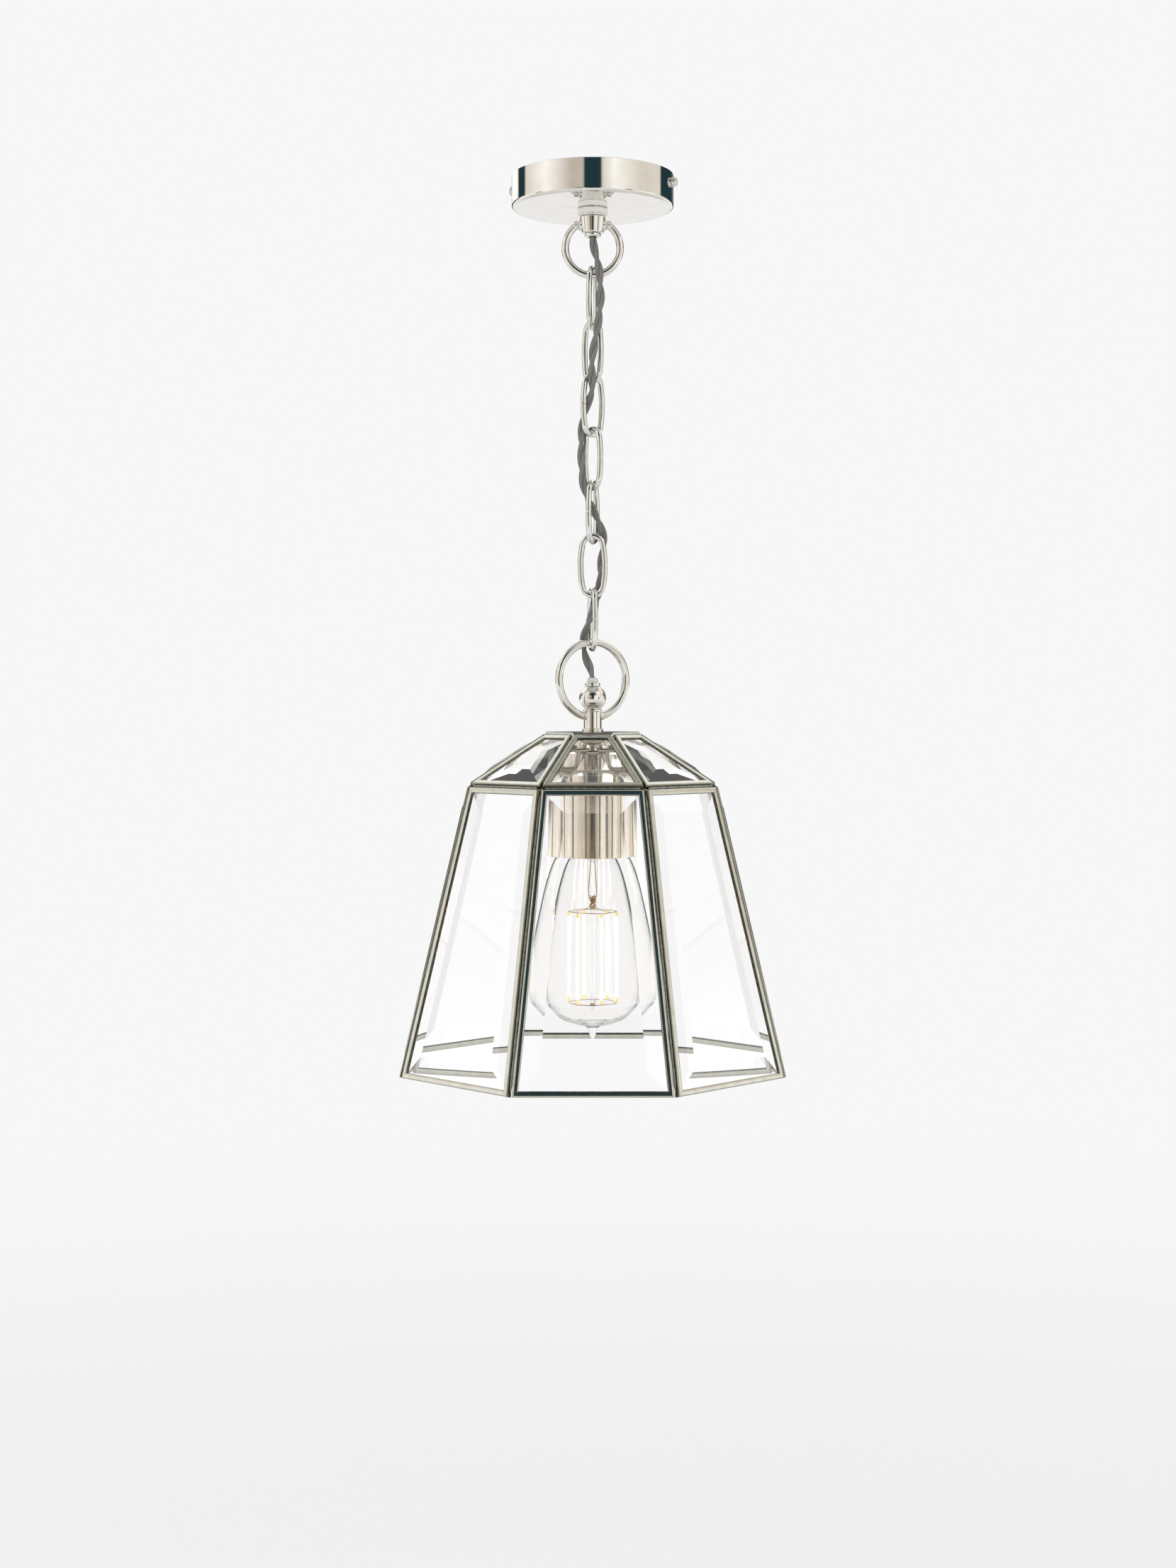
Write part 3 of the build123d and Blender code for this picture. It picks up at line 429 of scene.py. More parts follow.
polishedNickel = metal("polishedNickel", (0.80, 0.775, 0.735), (0.87, 0.85, 0.815), (0.015, 0.06), 90, 0.03)
linkNickel = metal("linkNickel", (0.76, 0.75, 0.73), (0.87, 0.86, 0.84), (0.03, 0.12), 260, 0.08)
holderNickel = metal("holderNickel", (0.80, 0.73, 0.64), (0.88, 0.82, 0.73), (0.04, 0.11), 60, 0.05,
                     (1, 1, 0.08))
zincSteel = metal("zincSteel", (0.50, 0.51, 0.52), (0.66, 0.66, 0.65), (0.28, 0.45), 300, 0.2)
brass = metal("brass", (0.55, 0.40, 0.17), (0.72, 0.55, 0.27), (0.16, 0.34), 260, 0.12)
capMetal = metal("capMetal", (0.60, 0.60, 0.59), (0.78, 0.77, 0.75), (0.10, 0.24), 240, 0.1)
supportMetal = metal("supportMetal", (0.42, 0.35, 0.29), (0.62, 0.52, 0.42), (0.22, 0.4), 500, 0.1)
pinchMetal = metal("pinchMetal", (0.52, 0.30, 0.14), (0.80, 0.58, 0.34), (0.2, 0.42), 900, 0.4)
# dark solder: partly its own dull grey, partly painted shade of the narrow gap between neighbouring cames
solderAndGapShade = metal("solderAndGapShade", (0.20, 0.21, 0.19), (0.42, 0.42, 0.38), (0.24, 0.46), 420, 0.5)
blackMoulding = plastic("blackMoulding", (0.012, 0.012, 0.013), (0.03, 0.03, 0.032), (0.3, 0.5))
whiteMoulding = plastic("whiteMoulding", (0.68, 0.68, 0.64), (0.80, 0.80, 0.77), (0.35, 0.5))
glossyBlack = plastic("glossyBlack", (0.01, 0.01, 0.012), (0.025, 0.025, 0.03), (0.06, 0.16))
brownCore = plastic("brownCore", (0.16, 0.08, 0.035), (0.26, 0.14, 0.06), (0.35, 0.55))
bevelGlass = clearGlass("bevelGlass", (0.998, 0.995, 1.0), 1.5)
bulbGlass = clearGlass("bulbGlassClear", (1.0, 0.995, 0.985), 1.18, 0.008, 0.01, 0.15)
stemGlass = clearGlass("stemGlass", (0.995, 0.99, 0.985), 1.16, 0.02, 0.02)


def makeCameMetal():
    # satin nickel, darkened along the came's edges by a per-point attribute: partly patina in its hollows,
    # partly painted shade where the rounded edges turn from the light and in the groove between neighbouring
    # cames
    mat, tree, bsdf = newMaterial("antiqueNickelEdgeShade")
    bsdf.inputs["Metallic"].default_value = 1.0
    cloud = noiseField(tree, 130, 5.0)
    base = ramp(tree, cloud, [(0.25, (0.60, 0.59, 0.53)), (0.75, (0.76, 0.75, 0.68))])
    patinaAndShade = tree.nodes.new("ShaderNodeAttribute")
    patinaAndShade.attribute_name = "patinaAndShade"
    tone = tree.nodes.new("ShaderNodeMix")
    tone.data_type = "RGBA"
    tone.blend_type = "MULTIPLY"
    tree.links.new(patinaAndShade.outputs["Fac"], tone.inputs["Factor"])
    tree.links.new(base, tone.inputs["A"])
    tone.inputs["B"].default_value = (0.44, 0.45, 0.40, 1)
    tree.links.new(tone.outputs["Result"], bsdf.inputs["Base Color"])
    tree.links.new(spread(tree, noiseField(tree, 420, 4.0), 0.07, 0.19), bsdf.inputs["Roughness"])
    bump(tree, bsdf, noiseField(tree, 1800, 3.0), 0.12, 0.00004)
    return mat


def makeBushPlastic():
    # a milky bush that lets some light through
    mat, tree, bsdf = newMaterial("clearBush")
    drift = noiseField(tree, 300, 3.0)
    milky = ramp(tree, drift, [(0.3, (0.78, 0.78, 0.76)), (0.7, (0.9, 0.9, 0.88))])
    tree.links.new(milky, bsdf.inputs["Base Color"])
    bsdf.inputs["Transmission Weight"].default_value = 0.55
    bsdf.inputs["IOR"].default_value = 1.46
    tree.links.new(spread(tree, drift, 0.22, 0.4), bsdf.inputs["Roughness"])
    bump(tree, bsdf, drift, 0.1, 0.00005)
    return mat


def makeGlow():
    # the coated filament: warm white, its tone drifting at random along it
    mat, tree, bsdf = newMaterial("filamentGlow")
    drift = noiseField(tree, 900, 2.0, (1, 1, 0.4))
    warm = ramp(tree, drift, [(0.3, (1.0, 0.72, 0.36)), (0.7, (1.0, 0.86, 0.60))])
    tree.links.new(warm, bsdf.inputs["Base Color"])
    tree.links.new(warm, bsdf.inputs["Emission Color"])
    bsdf.inputs["Emission Strength"].default_value = 9.0
    bsdf.inputs["Roughness"].default_value = 0.5
    bump(tree, bsdf, drift, 0.2, 0.0001)
    return mat


braidSettings = {"lean": 45, "scale": 4.6, "distortion": 0.9, "fuzz": 0.35, "weave": 0.75, "relief": 0.55,
                 "yarn": [(0.15, (0.052, 0.051, 0.046)), (0.6, (0.118, 0.116, 0.106)),
                          (0.95, (0.185, 0.18, 0.165))]}


def makeBraid():
    # woven sleeve: two sets of threads that cross along the strand, from its own UV map
    s = braidSettings
    mat, tree, bsdf = newMaterial("braidedSleeve")
    uv = tree.nodes.new("ShaderNodeUVMap")
    uv.uv_map = "strand"
    weave = []
    for lean in (1, -1):
        mapping = tree.nodes.new("ShaderNodeMapping")
        mapping.inputs["Rotation"].default_value = (0, 0, lean * radians(s["lean"]))
        waves = tree.nodes.new("ShaderNodeTexWave")
        waves.inputs["Scale"].default_value = s["scale"]
        waves.inputs["Distortion"].default_value = s["distortion"]
        waves.inputs["Detail"].default_value = 1.0
        tree.links.new(uv.outputs[0], mapping.inputs["Vector"])
        tree.links.new(mapping.outputs[0], waves.inputs["Vector"])
        weave.append(waves.outputs["Fac"])
    both = tree.nodes.new("ShaderNodeMath")
    both.operation = "MAXIMUM"
    tree.links.new(weave[0], both.inputs[0])
    tree.links.new(weave[1], both.inputs[1])
    fuzz = noiseField(tree, 2500, 3.0)
    shade = tree.nodes.new("ShaderNodeMath")
    shade.operation = "MULTIPLY_ADD"
    shade.inputs[1].default_value = s["fuzz"]
    tree.links.new(fuzz, shade.inputs[0])
    tree.links.new(spread(tree, both.outputs[0], 0.0, s["weave"]), shade.inputs[2])
    tree.links.new(ramp(tree, shade.outputs[0], s["yarn"]), bsdf.inputs["Base Color"])
    bsdf.inputs["Roughness"].default_value = 0.85
    bsdf.inputs["Sheen Weight"].default_value = 0.25
    bump(tree, bsdf, shade.outputs[0], s["relief"], 0.00015)
    return mat


cameMetal = makeCameMetal()
bushPlastic = makeBushPlastic()
glow = makeGlow()
tipCoat = plastic("filamentTip", (0.95, 0.72, 0.16), (1.0, 0.84, 0.30), (0.3, 0.5))
tipShader = tipCoat.node_tree.nodes["Principled BSDF"]
tipShader.inputs["Emission Color"].default_value = (1.0, 0.78, 0.25, 1)
tipShader.inputs["Emission Strength"].default_value = 0.35
braid = makeBraid()
print("materials made")


# the flex: one hanging run of two braided strands twisted round each other, in ten lengths
flexSettings = {"strand": 1.45, "twistRadius": 1.32, "pitch": 36.0, "sides": 36, "step": 0.34, "relief": 0.035,
                "threads": 12, "threadPitch": 2.4, "weaveRound": 9.1, "startTurn": 0.6, "diameter": 5.4,
                "partLength": 32.5, "pathStep": 4}
flexRoute = [
    (0, 0, -33), (0, 0, -46), (3.4, -4.6, -57), (4.9, -7.0, -69), (5.6, -6.4, -83), (4.2, -9.8, -97),
    (1.5, -10.6, -111), (-0.6, -9.3, -124), (-0.5, -7.9, -135.4), (-0.3, -2.7, -145.2), (-4.4, -0.4, -154),
    (-7.0, 0.9, -165), (-7.6, 0.7, -178), (-7.5, 0.3, -191), (-6.8, -1.2, -204), (-3.8, -1.4, -215),
    (1.2, -0.4, -225), (5.8, 2.2, -234), (7.9, 5.8, -244), (5.8, 6.4, -256), (5.0, 5.4, -269),
    (4.0, 5.6, -280), (0.4, 1.6, -291), (-4.2, 1.0, -301), (-6.6, 3.8, -311.5), (-4.6, 2.8, -322.5),
    (0, 0, -331.5), (0, 0, -343)]
# a height range for each joint down the chain; only how many there are is read, and the flex is cut into that
# many even lengths
flexBends = [(-36, -60), (-65, -77), (-96, -108), (-131, -144), (-167, -179), (-202, -215), (-238, -249),
             (-269, -280), (-301, -311), (-319, -335)]


def smoothLine(points):
    # reads points off one smooth spline through the route
    curve = bpy.data.curves.new("route", "CURVE")
    curve.dimensions = "3D"
    spline = curve.splines.new("NURBS")
    spline.points.add(len(points) - 1)
    for point, co in zip(spline.points, points):
        point.co = (co[0] * mm, co[1] * mm, co[2] * mm, 1)
    spline.order_u = 3
    spline.use_endpoint_u = True
    spline.resolution_u = 24
    carrier = addObject("routeLine", curve)
    graph = bpy.context.evaluated_depsgraph_get()
    mesh = bpy.data.meshes.new_from_object(carrier.evaluated_get(graph))
    line = [v.co.copy() for v in mesh.vertices]
    bpy.data.objects.remove(carrier)
    return line


def evenPoints(line, step):
    # points at even spacing along a line, and its length
    travelled = [0.0]
    for a, b in zip(line, line[1:]):
        travelled.append(travelled[-1] + (b - a).length)
    total = travelled[-1]
    count = max(2, int(round(total / step)))
    out, j = [], 0
    for k in range(count + 1):
        target = total * k / count
        while j < len(line) - 2 and travelled[j + 1] < target:
            j += 1
        span = max(travelled[j + 1] - travelled[j], 1e-12)
        out.append(line[j].lerp(line[j + 1], (target - travelled[j]) / span))
    return out, total


def strandMesh(name, frames, spacing, first, last):
    # both strands between two rows of the line, with closed ends and a UV map for the weave
    s = flexSettings
    n, rows = s["sides"], last - first
    verts, faces, uvs = [], [], []
    for strand in (0, 1):
        base = len(verts)
        for i in range(first, last + 1):
            p, a, b = frames[i]
            along = i * spacing / mm
            twist = 2 * pi * along / s["pitch"] + strand * pi + s["startTurn"]
            outward = a * cos(twist) + b * sin(twist)
            across = -a * sin(twist) + b * cos(twist)
            centre = p + outward * s["twistRadius"] * mm
            phase = 2 * pi * along / s["threadPitch"]
            for k in range(n):
                t = 2 * pi * k / n
                cross = max(sin(s["threads"] * t / 2 + phase), sin(s["threads"] * t / 2 - phase))
                r = (s["strand"] + s["relief"] * cross) * mm
                verts.append(centre + (outward * cos(t) + across * sin(t)) * r)
        for i in range(rows):
            v0, v1 = [(first + row) * spacing / mm / s["weaveRound"] for row in (i, i + 1)]
            near, far = base + i * n, base + (i + 1) * n
            for k in range(n):
                j = (k + 1) % n
                faces.append((near + k, near + j, far + j, far + k))
                uvs += [(k / n, v0), ((k + 1) / n, v0), ((k + 1) / n, v1), (k / n, v1)]
        faces.append(tuple(range(base, base + n))[::-1])
        faces.append(tuple(range(base + rows * n, base + rows * n + n)))
        uvs += [(0, 0)] * 2 * n
    mesh = bpy.data.meshes.new(name)
    mesh.from_pydata([tuple(v) for v in verts], [], faces)
    for item, uv in zip(mesh.uv_layers.new(name="strand").data, uvs):
        item.uv = uv
    mesh.shade_smooth()
    mesh.set_sharp_from_angle(angle=radians(60))
    mesh.materials.append(braid)
    return mesh


def makeFlex():
    s = flexSettings
    line, total = evenPoints(smoothLine(flexRoute), s["step"] * mm)
    count = len(line)
    spacing = total / (count - 1)
    side = Vector((1, 0, 0))
    frames = []
    for i, p in enumerate(line):
        ahead = (line[min(i + 1, count - 1)] - line[max(i - 1, 0)]).normalized()
        side = (side - ahead * side.dot(ahead)).normalized()
        frames.append((p, side.copy(), ahead.cross(side)))
    cuts = [round(k * (count - 1) / len(flexBends)) for k in range(len(flexBends) + 1)]
    for part, (first, last) in enumerate(zip(cuts, cuts[1:])):
        obj = addObject(f"flex_{part + 1}", strandMesh(f"flex{part + 1}", frames, spacing, first, last))
        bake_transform(obj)
        if part == 0:
            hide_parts("flex")
        path = line[first:last + 1:s["pathStep"]]
        if (last - first) % s["pathStep"]:
            path.append(line[last])
    return total


flexLength = makeFlex()
print("flex made, length", round(flexLength, 4))


# the rose, its side screws and the boss
pinHeight = -33.0  # of the pins that the upper ring swings on
roseSettings = {"radius": 54.0, "depth": 22.0, "wall": 1.2, "rim": 2.2, "holeRadius": 5.05, "lip": 0.1,
                "screwAngle": -14.0, "screwDrop": 7.0, "shankRadius": 1.65, "headRadius": 3.25,
                "headLength": 3.5, "ridges": 26}


def makeRose():
    s = roseSettings
    r, d, w, h = s["radius"], s["depth"], s["wall"], s["holeRadius"]
    top = -s["lip"]
    outline = roundCorners([(h, -d), (r, -d), (r, top), (r - w, top), (r - w, -d + w), (h, -d + w)],
                           [0.1, s["rim"], 0.35, 0.3, s["rim"] - w, 0.1], 10)
    turned("rose", outline, 256, polishedNickel, "ceiling_rose", "polished_nickel", "canopy")


def makeSideScrews():
    s = roseSettings
    core, long = s["headRadius"] - 0.3, s["headLength"]
    dome = roundCorners([(0, 0), (core, 0), (core, long), (1.7, long), (1.7, long - 0.5), (0, long - 0.5)],
                        [0, 0.3, 1.0, 0.2, 0.2, 0], 6)
    head = lathe("screwHead", dome, 48, closed=False)
    corners = [(2.7, -0.24, 0.25), (3.25, 0, 0.35), (2.7, 0.24, 0.25),
               (2.7, -0.24, 2.7), (3.2, 0, 2.4), (2.7, 0.24, 2.7)]
    ridge = meshFrom("ridge", [Vector(p) * mm for p in corners],
                     [(0, 1, 4, 3), (1, 2, 5, 4), (2, 0, 3, 5), (0, 2, 1), (3, 4, 5)])
    ridges = around("screwRidges", ridge, s["ridges"], 0.0, polishedNickel, 20)
    pieces = []
    for angle in (s["screwAngle"], s["screwAngle"] + 180):
        out = Vector((cos(radians(angle)), sin(radians(angle)), 0))
        drop = Vector((0, 0, -s["screwDrop"]))
        lay = Matrix.Translation((out * (s["radius"] + 0.1) + drop) * mm)
        lay = lay @ out.to_track_quat("Z", "Y").to_matrix().to_4x4()
        for part in (head, ridges):
            copy = part.copy()
            copy.transform(lay)
            pieces.append(copy)
        start, end = out * (s["radius"] - 4) + drop, out * (s["radius"] + 0.5) + drop
        pieces.append(turnedPin("shank", s["shankRadius"], start, end))
    place("sideScrews", joinMeshes("sideScrews", pieces), polishedNickel, "ceiling_rose", "polished_nickel",
          "canopy_screws")


bossSettings = {"bore": 5.1, "flangeRadius": 9.85, "cupBore": 4.55, "cupTop": 8.75, "cupBottom": 7.2,
                "bushBore": 3.2, "bushRadius": 5.5, "lugRadius": 3.6, "lugReach": 9.2}


def makeBoss():
    s = bossSettings
    bottom, top = heights("boss_flange")
    f = s["flangeRadius"]
    # a broad band with a fine groove under it
    outline = roundCorners([(s["bore"], bottom), (f - 0.15, bottom), (f - 0.15, bottom + 0.85),
                            (f - 0.5, bottom + 0.95), (f - 0.5, bottom + 1.15), (f + 0.3, bottom + 1.25),
                            (f + 0.3, top - 0.35), (f - 0.5, top - 0.25), (f - 0.5, top), (s["bore"], top)],
                           [0.1, 0.3, 0.3, 0.05, 0.05, 0.55, 0.4, 0.05, 0.05, 0.1], 8)
    turned("bossFlange", outline, 128, polishedNickel, "ceiling_rose", "polished_nickel", "boss_flange", 40)

    bottom, top = heights("boss_cup")
    outline = roundCorners([(s["cupBore"], bottom), (s["cupBottom"], bottom), (s["cupTop"], top),
                            (s["bore"], top)], [0.15, 1.1, 0.5, 0.1], 8)
    pieces = [lathe("cupBody", outline, 128)]
    for side in (-1, 1):
        pieces.append(turnedPin("ear", s["lugRadius"], (side * 6.2, 0, pinHeight),
                                (side * s["lugReach"], 0, pinHeight), 0.7))
    place("bossCup", joinMeshes("bossCup", pieces), polishedNickel, "ceiling_rose", "polished_nickel",
          "boss_cup")

    bottom, top = heights("boss_bush")
    b = s["bushRadius"]
    outline = roundCorners([(s["bushBore"], bottom), (b - 0.4, bottom), (b, bottom + 1.0), (b, bottom + 2.3),
                            (4.4, bottom + 2.3), (4.4, top), (s["bushBore"], top)],
                           [0.3, 0.4, 0.4, 0.3, 0.1, 0.1, 0.1], 5)
    turned("bossBush", outline, 96, polishedNickel, "ceiling_rose", "polished_nickel", "boss_bush")


makeRose()
makeSideScrews()
makeBoss()
print("rose and boss made")


# the rings and the links, bent from round wire
chainSettings = {"wire": 1.9, "rise": 39.85, "halfWidth": 8.05, "endRadius": 6.9, "firstTop": -61.6,
                 "pitch": 35.75, "yaws": [72, -48, 40, -51, 70, 0, 102], "seam": 0.3,
                 "seamSides": [-1, -1, -1, 1, -1, 1, -1], "legSteps": 24, "endSteps": 56}


def yawed(points, yaw, z):
    # stands a flat outline upright, turned about Z and moved to a height
    a = radians(yaw)
    return [(x * cos(a), x * sin(a), y + z) for x, y in points]


def linkLine(seamSide):
    # one open loop that starts and ends at the seam halfway down a leg, in the link's own plane
    s = chainSettings
    w, r, legs, bends = s["halfWidth"], s["endRadius"], s["legSteps"], s["endSteps"]
    h = s["rise"] / 2 - r
    bow = (w * w + h * h - r * r) / (2 * (w - r))
    span = atan2(h, bow - w)
    gap = s["seam"] / 2 / bow
    points = arc(w - bow, 0, bow, gap, span, legs)
    points += arc(0, h, r, span, pi - span, bends)[1:-1]
    points += arc(bow - w, 0, bow, pi - span, pi + span, 2 * legs)
    points += arc(0, -h, r, pi + span, 2 * pi - span, bends)[1:-1]
    points += arc(w - bow, 0, bow, -span, -gap, legs)
    return [(seamSide * x, y) for x, y in points]


def makeChain():
    s = chainSettings
    for i, (yaw, seamSide) in enumerate(zip(s["yaws"], s["seamSides"])):
        centre = s["firstTop"] - i * s["pitch"] - s["rise"] / 2
        mesh = wire(f"link{i + 1}", yawed(linkLine(seamSide), yaw, centre), s["wire"], linkNickel)
        place(f"link{i + 1}", mesh, None, f"chain_link_{i + 1}", "polished_nickel", f"chain_link_{i + 1}")


ringSettings = {"wire": 2.5, "upperRadius": 18.3, "upperCentre": -48.0, "eyeRadius": 3.0,
                "eyeReach": (9.5, 12.45), "upperPins": (6.6, 9.8), "lowerRadius": 25.2,
                "lowerCentre": -336.45, "lowerYaw": 28.0, "lowerReach": 7.3, "lowerPins": (4.5, 8.2),
                "pinRadius": 1.45}


def makeRings():
    s = ringSettings
    r, centre = s["upperRadius"], s["upperCentre"]
    start = pi / 2 + acos((pinHeight - centre) / r)
    bend = arc(0, 0, r, start, 3 * pi - start, 160)
    pieces = [wire("bail", yawed(bend, 0, centre), s["wire"], polishedNickel, sides=40)]
    for side in (-1, 1):
        near, far = [(side * x, 0, pinHeight) for x in s["eyeReach"]]
        pieces.append(turnedPin("eye", s["eyeRadius"], near, far, 0.5, 48))
        near, far = [(side * x, 0, pinHeight) for x in s["upperPins"]]
        pieces.append(turnedPin("pin", s["pinRadius"], near, far))
    place("upperRing", joinMeshes("upperRing", pieces), polishedNickel, "upper_ring", "polished_nickel",
          "upper_ring")

    r, centre, yaw = s["lowerRadius"], s["lowerCentre"], radians(s["lowerYaw"])
    start = -pi / 2 + asin(s["lowerReach"] / r)
    bend = arc(0, 0, r, start, pi - start, 180)
    pieces = [wire("hoop", yawed(bend, s["lowerYaw"], centre), s["wire"], polishedNickel, sides=40)]
    drop = centre - sqrt(r ** 2 - s["lowerReach"] ** 2)
    for side in (-1, 1):
        near, far = [(side * x * cos(yaw), side * x * sin(yaw), drop) for x in s["lowerPins"]]
        pieces.append(turnedPin("pin", s["pinRadius"], near, far))
    place("lowerRing", joinMeshes("lowerRing", pieces), polishedNickel, "lower_ring", "polished_nickel",
          "lower_ring")


makeRings()
makeChain()
print("rings and chain made")


# the collar, the ball and what is stacked with them
stackBore = 4.1  # the hole through everything that the lantern's tube passes
finialSettings = {"collar": 5.9, "collarRim": 6.4, "earRadius": 3.0, "earStart": 4.9, "earReach": 7.0,
                  "earDrop": 4.2, "ball": 9.0, "cap": 5.0, "bush": 3.6, "base": 7.0}


def makeFinial():
    s = finialSettings
    bottom, top = heights("ring_collar")
    c, rim = s["collar"], s["collarRim"]
    outline = roundCorners([(stackBore, bottom), (c, bottom), (c, top - 1.5), (rim, top - 1.1), (rim, top),
                            (stackBore, top)], [0.1, 0.25, 0.2, 0.3, 0.35, 0.1], 6)
    pieces = [lathe("collarBody", outline, 128)]
    yaw = radians(ringSettings["lowerYaw"])
    for side in (-1, 1):
        near, far = [(side * x * cos(yaw), side * x * sin(yaw), top - s["earDrop"])
                     for x in (s["earStart"], s["earReach"])]
        pieces.append(turnedPin("ear", s["earRadius"], near, far, 0.4, 48))
    place("collar", joinMeshes("collar", pieces), polishedNickel, "lantern", "polished_nickel", "ring_collar")

    bottom, top = heights("ball_finial")
    centre = top + 1.05 - s["ball"]
    low, high = [asin((z - centre) / s["ball"]) for z in (bottom, top)]
    outline = [(stackBore, bottom)] + arc(0, centre, s["ball"], low, high, 48) + [(stackBore, top)]
    turned("ball", outline, 128, polishedNickel, "lantern", "polished_nickel", "ball_finial")

    bottom, top = heights("finial_cap")
    outline = roundCorners([(stackBore, bottom), (s["cap"], bottom), (s["cap"], top), (3.45, top),
                            (3.45, top - 1.0), (stackBore, top - 1.0)], [0.1, 0.35, 0.5, 0.1, 0.05, 0.05], 6)
    turned("finialCap", outline, 96, polishedNickel, "lantern", "polished_nickel", "finial_cap")

    bottom, top = heights("cord_bush")
    b = s["bush"]
    outline = roundCorners([(2.95, bottom), (3.3, bottom), (3.3, bottom + 1.1), (b, bottom + 1.15),
                            (b, top - 1.8), (b - 0.35, top - 0.4), (3.0, top)],
                           [0, 0.05, 0.02, 0.05, 0.3, 0.3, 0.05], 5)
    turned("cordBush", outline, 72, bushPlastic, "lantern", "bush_clear", "cord_bush")

    bottom, top = heights("collar_base")
    b, middle = s["base"], (bottom + top) / 2
    outline = roundCorners([(stackBore, bottom), (b, bottom), (b, middle - 0.12), (b - 0.3, middle),
                            (b, middle + 0.12), (b, top), (stackBore, top)],
                           [0.1, 0.3, 0.1, 0.05, 0.1, 0.35, 0.1], 5)
    turned("collarBase", outline, 96, polishedNickel, "lantern", "polished_nickel", "collar_base")


makeFinial()
print("collar and ball made")


# the glass body: eight roof panels and eight side panels, each a bevelled pane in four mitred cames
bodySettings = {"sides": 8, "plateFlats": 63.0, "plateEase": (0.35, 0.25), "roofTop": (32.6, -1.3),
                "roofLow": (80.2, -32.58), "sideTop": (81.95, -35.3), "sideLow": (125.0, -222.2), "face": 3.8,
                "depth": 4.2, "web": 1.2, "slot": 2.0, "seam": 0.1, "mitre": 0.07, "glassGap": 0.1,
                "glassEdge": 1.8, "glassRise": 2.2, "bevel": 11.5}
halfTurn = pi / bodySettings["sides"]
plateLow, plateTop = heights("top_plate")


def makeSection():
    # the came's section: distance in from the panel's edge, depth, and how dark it is painted there, partly
    # patina in the hollows and partly painted shade on the rounded edges, dark at both edges and clear on the
    # crown
    s = bodySettings
    face, deep, web = s["face"], s["depth"], s["web"]
    upper, lower = (deep - s["slot"]) / 2, (deep + s["slot"]) / 2
    outside = [(0.0, 0.75, 1.0), (0.12, 0.40, 0.8), (0.42, 0.14, 0.35), (0.85, 0.03, 0.05), (1.3, 0.004, 0.0),
               (face / 2, 0.0, 0.0), (2.5, 0.004, 0.0), (2.95, 0.03, 0.05), (3.38, 0.14, 0.35),
               (3.68, 0.42, 0.7), (face, 0.8, 1.0)]
    groove = [(face, upper, 0.4), (web, upper, 0.0), (web, lower, 0.0), (face, lower, 0.4)]
    inside = [(face, 3.5, 0.9), (3.6, 3.9, 0.6), (2.9, 4.12, 0.2), (face / 2, deep, 0.0), (0.9, 4.12, 0.2),
              (0.3, 3.95, 0.6), (0.0, 3.6, 1.0)]
    return outside + groove + inside


cameSection = makeSection()


def makePanel(topPoint, lowPoint):
    # the facts of one sloping panel: its outer surface in section and its half widths
    run = lowPoint[0] - topPoint[0]
    fall = topPoint[1] - lowPoint[1]
    length = sqrt(run * run + fall * fall)
    out, up = fall / length, run / length
    reach = bodySettings["depth"] * out
    halfTop = (topPoint[0] - reach) * tan(halfTurn) - bodySettings["seam"]
    halfLow = (lowPoint[0] - reach) * tan(halfTurn) - bodySettings["seam"]
    return {"r": topPoint[0], "z": plateTop + topPoint[1], "length": length, "out": out, "up": up,
            "halfTop": halfTop, "flare": (halfLow - halfTop) / length}


def panelPoint(panel, x, y, depth, angle=-pi / 2):
    # across, down the slope and in from the outer surface, turned to face a direction
    r = panel["r"] + y * panel["up"] - depth * panel["out"]
    z = panel["z"] - y * panel["out"] - depth * panel["up"]
    return Vector((r * cos(angle) - x * sin(angle), r * sin(angle) + x * cos(angle), z)) * mm


def panelCorner(panel, inset, corner):
    # corner of the panel's outline moved in from its edges: top left, top right, low right, low left
    y = inset if corner < 2 else panel["length"] - inset
    half = panel["halfTop"] + panel["flare"] * y - inset * sqrt(1 + panel["flare"] ** 2)
    return (half if corner in (1, 2) else -half), y


def cameBars(name, panel):
    # the four bars round one pane, each cut to a mitre at both ends
    verts, faces, patinaAndShade = [], [], []
    count = len(cameSection)
    for bar in range(4):
        base = len(verts)
        ends = (bar, (bar + 1) % 4)
        for corner, other in (ends, ends[::-1]):
            for inset, depth, agedAndShaded in cameSection:
                x, y = panelCorner(panel, inset, corner)
                ox, oy = panelCorner(panel, inset, other)
                run = sqrt((ox - x) ** 2 + (oy - y) ** 2)
                shift = bodySettings["mitre"] / run
                verts.append(panelPoint(panel, x + (ox - x) * shift, y + (oy - y) * shift, depth))
                patinaAndShade.append(agedAndShaded)
        for k in range(count):
            j = (k + 1) % count
            faces.append((base + k, base + j, base + count + j, base + count + k))
        faces.append(tuple(range(base, base + count)))
        faces.append(tuple(range(base + count, base + 2 * count))[::-1])
    mesh = bpy.data.meshes.new(name)
    mesh.from_pydata([tuple(v) for v in verts], [], faces)
    # how dark each point is painted: patina in the hollows and painted shade on the rounded edges and in the
    # groove between cames
    layer = mesh.attributes.new("patinaAndShade", "FLOAT", "POINT")
    layer.data.foreach_set("value", patinaAndShade)
    return tidyMesh(mesh, 28)


